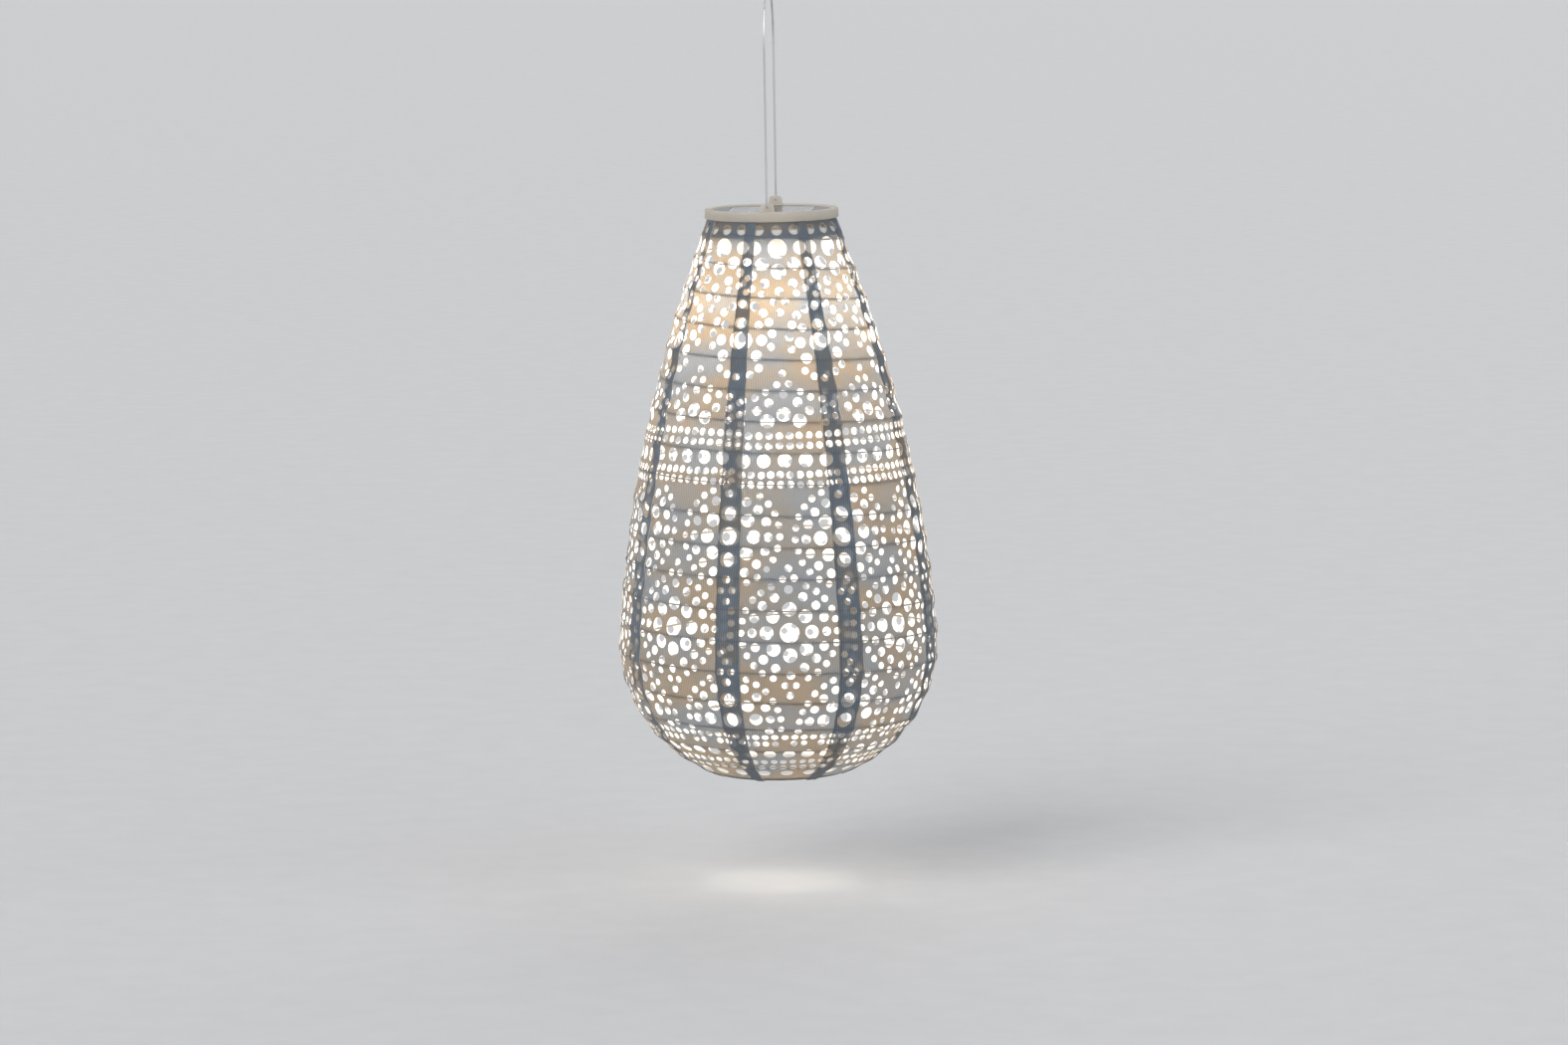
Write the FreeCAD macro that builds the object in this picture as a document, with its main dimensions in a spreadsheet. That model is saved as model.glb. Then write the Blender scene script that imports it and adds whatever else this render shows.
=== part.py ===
"""Hanging solar lantern: a collapsible teardrop shade of perforated cloth under a round solar cap.

Millimetres, +Z up. The origin is the hang point, inside the crown of the wire bail, so the lantern
hangs below it. Every piece is drawn with the top of the collar's rim at z = 0 and then dropped by HANG.
The bail turns about the Y axis through the two collar tabs, and the front of the lantern is at -Y.
"""
import FreeCAD, Part
import math
import os
import re

import Sketcher
from FreeCAD import Placement, Rotation, Vector

SIZES = {
    # collar: rim, inner seat for the solar module, skirt that the shade hangs from
    "rim_width": 3.3,
    "rim_height": 5.3,
    "rim_round": 1.1,
    "seat_depth": 3.4,
    "seat_width": 3.2,
    "seat_thickness": 2.2,
    "skirt_wall": 1.8,
    "bead": 0.7,
    # collar tabs and the wire bail hooked into them
    "tab_base": 8.2,
    "tab_top": 6.9,
    "tab_rise": 4.3,
    "tab_round": 1.2,
    "tab_thickness": 2.4,
    "tab_overlap": 0.4,
    "pivot_rise": 2.4,
    "pivot_clearance": 0.06,
    "bail_wire": 1.2,
    "bail_height": 122.0,
    "bail_bend": 1.8,
    "bail_gap": 0.4,
    "bail_tip": 0.8,
    # cloth shade: a long flank arc over a bowl arc, in overlapping gores
    "cloth_inset": 1.3,
    "shade_gap": 0.2,
    "belly_radius": 88.5,
    "belly_drop": 233.8,
    "bowl_radius": 77.0,
    "flank_angle": 4.3,
    "mouth_radius": 36.0,
    "cloth": 0.4,
    "gore_count": 8,
    "seam_angle": -10.0,
    "lap_angle": 9.0,
    "lap_gap": 0.08,
    "joggle_angle": 1.2,
    # holes punched in the cloth: rosettes of two rings round a core, smaller buds and plain rows
    "core_hole": 10.6,
    "inner_ring": 12.5,
    "inner_hole": 7.7,
    "outer_ring": 20.6,
    "outer_hole": 5.4,
    "bud_ring": 12.0,
    "bud_hole": 6.0,
    "row_hole": 7.4,
    "row_pitch": 11.2,
    "hole_gap": 0.8,
    # how far down the cloth each rosette, bud and row is centred
    "neck_rosette": 14.6,
    "bud_drop": 66.0,
    "crown_rosette": 118.5,
    "band_row": 131.1,
    "band_half": 16.0,
    "seam_rosette": 173.0,
    "belly_rosette": 224.0,
    "foot_rosette": 274.5,
    "foot_row": 299.8,
    "mouth_row": 322.6,
    # wire in the shade: hemmed hoops at both ends, one spring coil between them
    "hoop_wire": 2.0,
    "hem_gap": 0.05,
    "hem_fit": 0.12,
    "hoop_drop": 5.0,
    "rib_wire": 0.9,
    "rib_gap": 0.15,
    "rib_turns": 19.0,
    "rib_start": -91.0,
    "rib_clear": 1.4,
    # solar module: cover with the panel
    "cover_gap": 0.3,
    "cover_sink": 0.8,
    "flat_gap": 0.4,
    "panel_margin": 0.85,
    "panel_corner": 1.5,
    "panel_gap": 0.2,
    "backing": 1.0,
    "cell": 0.3,
    "glaze": 0.4,
    "cell_count": 4,
    "cell_margin": 1.2,
    "cell_gap": 0.7,
    "spigot_wall": 1.2,
    "spigot_depth": 2.4,
    "spigot_gap": 0.2,
    "post_radius": 2.4,
    "post_length": 5.6,
    # solar module: cup with the battery bay
    "cup_gap": 0.4,
    "cup_wall": 1.6,
    "cup_floor": 2.4,
    "cup_end": 24.0,
    "cup_round": 1.2,
    "seal_wire": 1.6,
    "boss_radius": 2.8,
    "boss_sink": 0.4,
    "boss_angle": 33.0,
    "screw_radius": 0.95,
    "screw_clearance": 0.2,
    "screw_pilot": 0.05,
    "screw_head": 2.1,
    "screw_head_height": 1.5,
    "screw_reach": 3.0,
    # battery, its contacts and the door under it
    "battery_diameter": 10.5,
    "battery_length": 44.5,
    "battery_nub": 0.8,
    "nub_radius": 1.9,
    "battery_lift": 1.1,
    "bay_gap": 0.25,
    "contact_plate": 0.4,
    "contact_width": 5.0,
    "contact_height": 8.0,
    "contact_block": 1.4,
    "contact_clear": 0.27,
    "spring_length": 2.2,
    "spring_wire": 0.5,
    "spring_radius": 2.2,
    "spring_turns": 1.5,
    "door_margin": 0.5,
    "door_gap": 0.3,
    "door_pin": 0.6,
    "door_pin_length": 1.4,
    "door_pin_clearance": 0.05,
    "finger_notch": 3.0,
    "finger_depth": 1.2,
    # circuit board, lamp and switch
    "board_thickness": 1.6,
    "board_width": 30.0,
    "board_edge": 2.4,
    "board_gap": 0.5,
    "board_drop": 6.1,
    "stud_radius": 2.0,
    "stud_spread": 9.0,
    "stud_back": 19.0,
    "board_screw_radius": 0.7,
    "board_screw_head": 1.5,
    "board_screw_length": 5.0,
    "chip_length": 5.0,
    "chip_width": 4.0,
    "chip_height": 1.4,
    "choke_radius": 3.2,
    "choke_height": 4.6,
    "parts_spread": 6.6,
    "parts_back": 9.0,
    "lead_wire": 1.0,
    "lead_clearance": 0.25,
    "lead_spread": 3.4,
    "lead_back": 16.0,
    "lead_rise": 2.6,
    "lead_bend": 1.2,
    "led_radius": 2.5,
    "led_flange": 0.4,
    "led_length": 7.6,
    "led_pitch": 2.54,
    "led_pin": 0.5,
    "led_fit": 0.05,
    "bezel_wall": 0.9,
    "bezel_lip": 0.8,
    "bezel_drop": 0.9,
    "bezel_sleeve": 4.5,
    "switch_length": 12.0,
    "switch_width": 6.0,
    "switch_height": 5.0,
    "switch_back": 13.5,
    "switch_travel": 4.0,
    "knob_length": 3.6,
    "knob_width": 3.0,
    "knob_drop": 1.2,
    "knob_gap": 0.3,
    "stem_length": 2.4,
    "stem_width": 1.6,
    "stem_height": 1.8,
}

# the rim goes round the cup, and the cup round the cell with its contacts
CELL_REACH = "(battery_length / 2 + spring_length + contact_plate)"
CELL_SIDE = (
    "(led_radius + led_fit + bezel_wall + bezel_lip + door_margin"
    " + battery_diameter / 2 + bay_gap + contact_width / 2)"
)
DERIVED = {
    "rim_radius": f"hypot({CELL_REACH}; {CELL_SIDE}) + contact_clear"
    " + cup_wall + cup_gap + seat_width + rim_width",
}

# places that several pieces share, as expressions of the sizes
HANG = "(pivot_rise + bail_height - bail_wire / 2)"
RIM_IN = "(rim_radius - rim_width)"
TAB_OUT = f"({RIM_IN} + tab_overlap)"
TAB_IN = f"({TAB_OUT} - tab_thickness)"
BAIL_LEG = f"({TAB_OUT} + bail_gap + bail_bend)"
BAIL_TIP = f"({TAB_IN} - bail_tip)"
SHADE_TOP = "(-rim_height - shade_gap)"
TOP_RADIUS = "(rim_radius - cloth_inset)"
BOWL_CENTRE = "(belly_radius - bowl_radius)"
BELLY = f"({SHADE_TOP} - belly_drop)"
TANGENT_R = f"({BOWL_CENTRE} + bowl_radius * cos(flank_angle))"
TANGENT_DROP = "(belly_drop - bowl_radius * sin(flank_angle))"
CHORD_R = f"({TANGENT_R} - {TOP_RADIUS})"
CHORD_ANGLE = f"atan2({CHORD_R}; {TANGENT_DROP})"
FLANK_RADIUS = f"(hypot({CHORD_R}; {TANGENT_DROP}) / (2 * sin({CHORD_ANGLE} - flank_angle * 1 deg)))"
TOP_ANGLE = f"(2 * {CHORD_ANGLE} - flank_angle * 1 deg)"
SINGLE_HALF = "((360 / gore_count - lap_angle) / 2)"
MOUTH_ANGLE = f"acos((mouth_radius - {BOWL_CENTRE}) / bowl_radius)"
HEM_RADIUS = "(hoop_wire / 2 + hem_gap + cloth)"
HOOP_ANGLE = f"({TOP_ANGLE} - hoop_drop / {FLANK_RADIUS} * 1 rad)"
HOOP_INSET = f"(cloth + hem_fit + {HEM_RADIUS})"
HOOP_OUT = f"({FLANK_RADIUS} * (cos({HOOP_ANGLE}) - cos({TOP_ANGLE})))"
HOOP_DOWN = f"({FLANK_RADIUS} * (sin({TOP_ANGLE}) - sin({HOOP_ANGLE})))"
TOP_HOOP_R = f"({TOP_RADIUS} + {HOOP_OUT} - {HOOP_INSET} * cos({HOOP_ANGLE}))"
TOP_HOOP_Z = f"({SHADE_TOP} - {HOOP_DOWN} - {HOOP_INSET} * sin({HOOP_ANGLE}))"
LOW_HOOP_ANGLE = f"({MOUTH_ANGLE} - {HEM_RADIUS} / bowl_radius * 1 rad)"
LOW_HOOP_R = f"({BOWL_CENTRE} + (bowl_radius - {HOOP_INSET}) * cos({LOW_HOOP_ANGLE}))"
LOW_HOOP_Z = f"({BELLY} - (bowl_radius - {HOOP_INSET}) * sin({LOW_HOOP_ANGLE}))"
SKIRT_RADIUS = f"({TOP_HOOP_R} - {HEM_RADIUS} - hem_fit)"
SKIRT_END = f"({TOP_HOOP_Z} - {HEM_RADIUS} - 2 * bead)"
COVER_RADIUS = f"({RIM_IN} - cover_gap)"
SEAT_RADIUS = f"({RIM_IN} - seat_width)"
RECESS = "(backing + cell + glaze)"
RECESS_SIDE = f"(sqrt(2) * ({COVER_RADIUS} - panel_margin) + 2 * panel_gap)"
PANEL_SIDE = f"({RECESS_SIDE} - 2 * panel_gap)"
CUP_RADIUS = f"({SEAT_RADIUS} - cup_gap)"
CUP_IN = f"({CUP_RADIUS} - cup_wall)"
CUP_TOP = "(-seat_depth - seal_wire)"
FLOOR = "(cup_floor - cup_end)"
POST_END = "(-seat_depth - post_length)"
BOSS_CIRCLE = f"({CUP_IN} - boss_radius + boss_sink)"
BEZEL_OUT = "(led_radius + led_fit + bezel_wall)"
BAY_NEAR = f"({BEZEL_OUT} + bezel_lip + door_margin)"
BAY_FAR = f"({BAY_NEAR} + battery_diameter + 2 * bay_gap)"
BAY_HALF = "(battery_length / 2 + bay_gap)"
BATTERY_Y = f"({BAY_NEAR} / 2 + {BAY_FAR} / 2)"
BATTERY_Z = f"({FLOOR} + battery_lift + battery_diameter / 2)"
BATTERY_END = "(battery_length / 2)"
DOOR_AXIS_Y = f"({BAY_FAR} - door_gap - cup_floor / 2)"
DOOR_AXIS_Z = f"({FLOOR} - cup_floor / 2)"
BOARD_TOP = "(-seat_depth - board_drop)"
BOARD_FOOT = f"({BOARD_TOP} - board_thickness)"

doc = FreeCAD.newDocument("Lantern")
sheet = doc.addObject("Spreadsheet::Sheet", "Sizes")
for line, (name, number) in enumerate(SIZES.items(), 1):
    sheet.set(f"A{line}", name)
    sheet.set(f"B{line}", str(number))
    sheet.setAlias(f"B{line}", name)
for line, (name, formula) in enumerate(DERIVED.items(), len(SIZES) + 1):
    sheet.set(f"A{line}", name)
    sheet.set(f"B{line}", f"={formula}")
    sheet.setAlias(f"B{line}", name)
doc.recompute()
pieces = []


def bound(expression):
    """The expression with every size named by its cell."""
    named = {*SIZES, *DERIVED}
    return re.sub(r"[a-z]\w*", lambda word: f"Sizes.{word[0]}" if word[0] in named else word[0], expression)


def number_of(expression):
    """The present value of an expression of sizes."""
    result = sheet.evalExpression(expression)
    return float(getattr(result, "Value", result))


def piece(obj, label):
    """Names an object as a piece of the lantern and hangs it below the hang point."""
    obj.Label = label
    obj.setExpression("Placement.Base.z", bound(f"-{HANG}"))
    pieces.append(obj)
    return obj


def set_sizes(obj, **expressions):
    """Binds properties of an object to expressions of the sizes."""
    for name, expression in expressions.items():
        obj.setExpression(name.replace("__", "."), bound(expression))
    return obj


def new_body(label):
    return piece(doc.addObject("PartDesign::Body", label), label)


def origin_feature(body, role):
    return next(feature for feature in body.Origin.OriginFeatures if feature.Role == role)


def new_sketch(body, plane, lift="0"):
    sketch = body.newObject("Sketcher::SketchObject", "Sketch")
    sketch.AttachmentSupport = (origin_feature(body, plane), "")
    sketch.MapMode = "FlatFace"
    sketch.setExpression("AttachmentOffset.Base.z", bound(lift))
    return sketch


def pin_point(sketch, curve, end, x, y):
    """Fixes one point of a curve at an expression of the sizes."""
    for kind, expression in (("DistanceX", x), ("DistanceY", y)):
        index = sketch.addConstraint(Sketcher.Constraint(kind, curve, end, number_of(expression)))
        sketch.setExpression(f"Constraints[{index}]", bound(expression))


def pin_radius(sketch, curve, radius):
    index = sketch.addConstraint(Sketcher.Constraint("Radius", curve, number_of(radius)))
    sketch.setExpression(f"Constraints[{index}]", bound(radius))


def arc_between(start, end, radius, turn):
    """The short arc from start to end that turns left (1) or right (-1)."""
    middle = (start + end) * 0.5
    half = (end - start) * 0.5
    side = Vector(-half.y, half.x, 0).normalize() * turn
    centre = middle + side * math.sqrt(max(radius ** 2 - half.Length ** 2, 0.0))
    first, last = (start, end) if turn > 0 else (end, start)
    angles = [math.atan2(point.y - centre.y, point.x - centre.x) for point in (first, last)]
    return Part.ArcOfCircle(Part.Circle(centre, Vector(0, 0, 1), radius), *angles)


def outline(sketch, corners, closed=True):
    """Draws lines and arcs through corners (x, y) or (x, y, radius, turn): the arc leaves that corner."""
    count = len(corners)
    points = [Vector(number_of(corner[0]), number_of(corner[1]), 0) for corner in corners]
    runs = []
    for i in range(count if closed else count - 1):
        start, end = points[i], points[(i + 1) % count]
        if len(corners[i]) == 2:
            runs.append((sketch.addGeometry(Part.LineSegment(start, end)), 1, 2))
            continue
        radius, turn = corners[i][2:]
        curve = sketch.addGeometry(arc_between(start, end, number_of(radius), turn))
        runs.append((curve, 1, 2) if turn > 0 else (curve, 2, 1))
        pin_radius(sketch, curve, radius)
    for i, (curve, start, end) in enumerate(runs):
        pin_point(sketch, curve, start, *corners[i][:2])
        if closed or i + 1 < len(runs):
            following = runs[(i + 1) % len(runs)]
            sketch.addConstraint(Sketcher.Constraint("Coincident", curve, end, following[0], following[1]))
        else:
            pin_point(sketch, curve, end, *corners[-1][:2])
    return sketch


def circle(sketch, x, y, radius):
    centre = Vector(number_of(x), number_of(y), 0)
    curve = sketch.addGeometry(Part.Circle(centre, Vector(0, 0, 1), number_of(radius)))
    pin_point(sketch, curve, 3, x, y)
    pin_radius(sketch, curve, radius)
    return sketch


def rectangle(x0, y0, x1, y1, corner=None):
    """Corners of an upright rectangle, rounded if a corner radius is given."""
    if corner is None:
        return [(x0, y0), (x1, y0), (x1, y1), (x0, y1)]
    return [
        (f"{x0} + {corner}", y0), (f"{x1} - {corner}", y0, corner, 1),
        (x1, f"{y0} + {corner}"), (x1, f"{y1} - {corner}", corner, 1),
        (f"{x1} - {corner}", y1), (f"{x0} + {corner}", y1, corner, 1),
        (x0, f"{y1} - {corner}"), (x0, f"{y0} + {corner}", corner, 1),
    ]


def revolve(body, sketch, angle="360", back=None, reverse=False):
    """Turns a profile about the upright axis, by a second angle backwards too if one is given."""
    turn = body.newObject("PartDesign::Revolution", "Turn")
    turn.Profile = sketch
    turn.ReferenceAxis = (sketch, ["V_Axis"])
    turn.Reversed = reverse
    turn.setExpression("Angle", bound(angle))
    if back is not None:
        turn.Type = "TwoAngles"
        turn.setExpression("Angle2", bound(back))
    return turn


def pad(body, sketch, length, down=False):
    feature = body.newObject("PartDesign::Pad", "Pad")
    feature.Profile = sketch
    feature.Reversed = down
    feature.setExpression("Length", bound(length))
    return feature


def pocket(body, sketch, length=None, up=False):
    """Cuts a profile down (or up) by a length, or right through both ways."""
    feature = body.newObject("PartDesign::Pocket", "Pocket")
    feature.Profile = sketch
    if length is None:
        feature.Type = "ThroughAll"
        feature.SideType = "Symmetric"
        return feature
    feature.Reversed = up
    feature.setExpression("Length", bound(length))
    return feature


def primitive(kind, x="0", y="0", z="0", **expressions):
    """A Part primitive with its sizes and its place bound to the sheet."""
    obj = doc.addObject(f"Part::{kind}", kind)
    set_sizes(obj, Placement__Base__x=x, Placement__Base__y=y, Placement__Base__z=z, **expressions)
    return obj


def joined(kind, *members):
    """A fuse or a compound of objects."""
    obj = doc.addObject(f"Part::{kind}", kind)
    if kind == "Compound":
        obj.Links = list(members)
    else:
        obj.Shapes = list(members)
    return obj


def cut(base, tool):
    obj = doc.addObject("Part::Cut", "Cut")
    obj.Base = base
    obj.Tool = tool
    return obj


def make_collar():
    body = new_body("top_collar")
    profile = new_sketch(body, "XZ_Plane")
    outline(profile, [
        (RIM_IN, "-rim_round / 2", "rim_round / 2", -1),
        (f"{RIM_IN} + rim_round / 2", "0"),
        ("rim_radius - rim_round", "0", "rim_round", -1),
        ("rim_radius", "-rim_round"),
        ("rim_radius", "rim_round / 2 - rim_height", "rim_round / 2", -1),
        ("rim_radius - rim_round / 2", "-rim_height"),
        (SKIRT_RADIUS, "-rim_height"),
        (SKIRT_RADIUS, f"{SKIRT_END} + 2 * bead"),
        (f"{SKIRT_RADIUS} + bead", f"{SKIRT_END} + bead"),
        (SKIRT_RADIUS, SKIRT_END),
        (f"{SKIRT_RADIUS} - skirt_wall", SKIRT_END),
        (f"{SKIRT_RADIUS} - skirt_wall", "-seat_depth - seat_thickness"),
        (SEAT_RADIUS, "-seat_depth - seat_thickness"),
        (SEAT_RADIUS, "-seat_depth"),
        (RIM_IN, "-seat_depth"),
    ])
    revolve(body, profile)
    tab = new_sketch(body, "XZ_Plane", TAB_IN)
    foot = "-seat_depth - seat_thickness / 2"
    outline(tab, [
        ("-tab_base / 2", foot),
        ("tab_base / 2", foot),
        ("tab_top / 2", "tab_rise - tab_round", "tab_round", 1),
        ("tab_top / 2 - tab_round", "tab_rise"),
        ("tab_round - tab_top / 2", "tab_rise", "tab_round", 1),
        ("-tab_top / 2", "tab_rise - tab_round"),
    ])
    upright = pad(body, tab, "tab_thickness")
    doc.recompute()
    both = body.newObject("PartDesign::PolarPattern", "Tabs")
    both.Originals = [upright]
    both.Axis = (origin_feature(body, "Z_Axis"), [""])
    both.Angle = 360
    both.Occurrences = 2
    body.Tip = both
    hole = circle(new_sketch(body, "XZ_Plane"), "0", "pivot_rise", "bail_wire / 2 + pivot_clearance")
    pocket(body, hole)


def make_bail():
    """One wire: in through a tab, up a leg, round the crown and down again."""
    body = new_body("hanging_bail")
    path = new_sketch(body, "YZ_Plane")
    crown = f"pivot_rise + bail_height - {BAIL_LEG}"
    outline(path, [
        (f"-{BAIL_TIP}", "pivot_rise"),
        (f"bail_bend - {BAIL_LEG}", "pivot_rise", "bail_bend", -1),
        (f"-{BAIL_LEG}", "pivot_rise + bail_bend"),
        (f"-{BAIL_LEG}", crown, BAIL_LEG, -1),
        ("0", "pivot_rise + bail_height", BAIL_LEG, -1),
        (BAIL_LEG, crown),
        (BAIL_LEG, "pivot_rise + bail_bend", "bail_bend", -1),
        (f"{BAIL_LEG} - bail_bend", "pivot_rise"),
        (BAIL_TIP, "pivot_rise"),
    ], closed=False)
    section = circle(new_sketch(body, "XZ_Plane", BAIL_TIP), "0", "pivot_rise", "bail_wire / 2")
    wire = body.newObject("PartDesign::AdditivePipe", "Wire")
    wire.Profile = section
    wire.Spine = path


def shade_profile(sketch, inner, outer):
    """The band of the shade's wall between two offsets from the cloth's outside, outward positive."""
    def top(offset):
        radius = f"{TOP_RADIUS} + ({offset}) * cos({TOP_ANGLE})"
        return (radius, f"{SHADE_TOP} + ({offset}) * sin({TOP_ANGLE})")

    def tangent(offset):
        reach = f"(bowl_radius + {offset})"
        return (f"{BOWL_CENTRE} + {reach} * cos(flank_angle)", f"{BELLY} + {reach} * sin(flank_angle)")

    def mouth(offset):
        reach = f"(bowl_radius + {offset})"
        return (f"{BOWL_CENTRE} + {reach} * cos({MOUTH_ANGLE})", f"{BELLY} - {reach} * sin({MOUTH_ANGLE})")

    outline(sketch, [
        (*top(inner), f"{FLANK_RADIUS} + {inner}", -1),
        (*tangent(inner), f"bowl_radius + {inner}", -1),
        mouth(inner),
        (*mouth(outer), f"bowl_radius + {outer}", 1),
        (*tangent(outer), f"{FLANK_RADIUS} + {outer}", 1),
        top(outer),
    ])
    return sketch


class ShadeWall:
    """The shade's wall in numbers: the flank arc and the bowl arc, by length down the cloth."""

    def __init__(self):
        self.flank, self.bowl = number_of(FLANK_RADIUS), number_of("bowl_radius")
        self.top, self.tangent = (math.radians(number_of(angle)) for angle in (TOP_ANGLE, "flank_angle"))
        self.flank_length = self.flank * (self.top - self.tangent)
        self.length = self.flank_length + self.bowl * (self.tangent + math.radians(number_of(MOUTH_ANGLE)))
        self.bowl_r, self.bowl_z = number_of(BOWL_CENTRE), number_of(BELLY)
        self.flank_r = self.bowl_r + (self.bowl - self.flank) * math.cos(self.tangent)
        self.flank_z = self.bowl_z + (self.bowl - self.flank) * math.sin(self.tangent)

    def at(self, along, inset=0.0):
        """Radius, height and slope at a length down from the top, set in from the cloth's outside."""
        if along < self.flank_length:
            slope = self.top - along / self.flank
            reach = self.flank - inset
            return self.flank_r + reach * math.cos(slope), self.flank_z + reach * math.sin(slope), slope
        slope = self.tangent - (along - self.flank_length) / self.bowl
        reach = self.bowl - inset
        return self.bowl_r + reach * math.cos(slope), self.bowl_z + reach * math.sin(slope), slope


class Punches:
    """The round punches of one gore, square to its cloth, in the stretch where the cloth is single."""

    def __init__(self):
        self.wall = ShadeWall()
        self.middle = math.radians(number_of(SINGLE_HALF))
        self.half = math.radians(number_of(f"{SINGLE_HALF} - joggle_angle"))
        self.seam = math.radians(number_of("180 / gore_count"))
        self.gap = number_of("hole_gap")
        self.holes = []
        self.tools = []

    def punch(self, side, across, along, diameter):
        """One hole, at a distance across from a meridian, if it is clear of the others and of every edge."""
        radius, height, slope = self.wall.at(along)
        turn = side + across / radius
        room = min(self.half * radius - abs(turn) * radius, along, self.wall.length - along)
        if room < diameter / 2 + self.gap:
            return
        for other, place, size in self.holes:
            if math.hypot((turn - other) * radius, along - place) < (diameter + size) / 2 + self.gap:
                return
        self.holes.append((turn, along, diameter))
        around = turn - self.middle
        outward = Vector(math.cos(around), math.sin(around), 0)
        normal = outward * math.cos(slope) + Vector(0, 0, math.sin(slope))
        foot = outward * radius + Vector(0, 0, height) - normal * diameter / 2
        self.tools.append(Part.makeCylinder(diameter / 2, diameter, foot, normal))

    def ring(self, side, along, radius, diameter, count, first, last):
        """Holes spread evenly on a circle, those that lie between two lengths down the cloth."""
        for i in range(count):
            way = 2 * math.pi * i / count
            place = along - radius * math.sin(way)
            if first < place < last:
                self.punch(side, radius * math.cos(way), place, diameter)

    def rosette(self, side, along, first="0", last="mouth_row"):
        along, first, last = number_of(along), number_of(first), number_of(last)
        self.ring(side, along, 0, number_of("core_hole"), 1, first, last)
        self.ring(side, along, number_of("inner_ring"), number_of("inner_hole"), 8, first, last)
        self.ring(side, along, number_of("outer_ring"), number_of("outer_hole"), 16, first, last)

    def row(self, along):
        """Holes across the gore, a whole number of them to its share of the round."""
        along = number_of(along)
        share = 2 * self.seam * self.wall.at(along)[0]
        count = round(share / number_of("row_pitch"))
        for i in range(-count, count + 1):
            self.punch(0, i * share / count, along, number_of("row_hole"))

    def pattern(self):
        for place in ("band_row", "foot_row", "mouth_row"):
            self.row(place)
        self.rosette(0, "neck_rosette")
        self.rosette(0, "belly_rosette")
        self.rosette(0, "crown_rosette", last="band_row - band_half")
        for side in (-self.seam, self.seam):
            self.rosette(side, "seam_rosette", first="band_row + band_half")
            self.rosette(side, "foot_rosette", last="foot_row - band_half")
            sizes = (number_of(name) for name in ("bud_drop", "bud_ring", "bud_hole"))
            self.ring(side, *sizes, 8, 0, number_of("band_row"))
        return Part.makeCompound(self.tools)


def make_gore():
    """The punched cloth of one gore, with a flap that laps over the next gore."""
    body = doc.addObject("PartDesign::Body", "Gore")
    main = shade_profile(new_sketch(body, "XZ_Plane"), "-cloth", "0")
    revolve(body, main, "360 / gore_count", reverse=True)
    joggle = shade_profile(new_sketch(body, "XZ_Plane"), "-cloth", "cloth + lap_gap")
    revolve(body, joggle, "joggle_angle", reverse=True)
    flap = shade_profile(new_sketch(body, "XZ_Plane"), "lap_gap", "cloth + lap_gap")
    revolve(body, flap, "lap_angle", back="joggle_angle")
    punches = doc.addObject("Part::Feature", "Punches")
    punches.Shape = Punches().pattern()
    return cut(body, punches)


def place_gore(gore, index):
    """One gore of the shade, turned to its seam."""
    turned = piece(joined("Compound", gore), f"gore_panel_{index + 1}")
    turned.Placement = Placement(turned.Placement.Base, Rotation(Vector(0, 0, 1), 1))
    edge = f"seam_angle + {index} * 360 / gore_count - lap_angle"
    turned.setExpression("Placement.Rotation.Angle", bound(f"({edge}) * 1 deg"))


def make_hoop(label, radius, height):
    """A wire hoop, with the cloth hem rolled round it."""
    hoop = primitive("Torus", Radius1=radius, Radius2="hoop_wire / 2")
    piece(hoop, f"{label}_hoop")
    hoop.setExpression("Placement.Base.z", bound(f"{height} - {HANG}"))
    roll = primitive("Torus", z=height, Radius1=radius, Radius2=HEM_RADIUS)
    bore = primitive("Torus", z=height, Radius1=radius, Radius2="hoop_wire / 2 + hem_gap")
    piece(cut(roll, bore), f"{label}_hem")


def biarc(start, start_way, end, end_way):
    """Two arcs that join two points and keep both tangents."""
    span = end - start
    ways = start_way + end_way
    spread = 2 * (1 - start_way.dot(end_way))
    along = span.dot(ways)
    reach = (math.sqrt(along ** 2 + spread * span.dot(span)) - along) / spread
    first = start + start_way * reach
    last = end - end_way * reach
    middle = (first + last) * 0.5
    edges = []
    for a, corner, b in ((start, first, middle), (middle, last, end)):
        chord_middle = (a + b) * 0.5
        rise = corner - chord_middle
        half = (b - a).Length / 2
        leg = (corner - a).Length
        bulge = half * (leg - half) / rise.Length
        edges.append(Part.Arc(a, chord_middle + rise.normalize() * bulge, b).toShape())
    return edges


def wound_tube(point_at, turns, wire_radius, closest):
    """One unbroken tube through quarter turns of a winding, with its least gap to itself printed."""
    step = 1e-4
    stations = []
    for i in range(round(turns * 4) + 1):
        here = point_at(i / 4)
        way = (point_at(i / 4 + step) - point_at(i / 4 - step)).normalize()
        stations.append((here, way))
    edges = []
    for (a, a_way), (b, b_way) in zip(stations, stations[1:]):
        edges += biarc(a, a_way, b, b_way)
    path = Part.Wire(edges)
    section = Part.Wire(Part.Circle(stations[0][0], stations[0][1], wire_radius).toShape())
    tube = path.makePipeShell([section], True, False)
    around = 24
    points = [point_at(i / around) for i in range(round(turns * around) + 1)]
    nearest = min((p - q).Length for i, p in enumerate(points) for q in points[i + around // 2:])
    gap = nearest - 2 * wire_radius
    print(f"{closest}: least gap to itself {gap:.2f} mm, wire length {path.Length:.0f} mm")
    return tube


def placed_shape(label, shape):
    obj = doc.addObject("Part::Feature", label)
    obj.Shape = shape
    obj.Placement = Placement(Vector(0, 0, -number_of(HANG)), Rotation())
    obj.Label = label
    pieces.append(obj)


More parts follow.
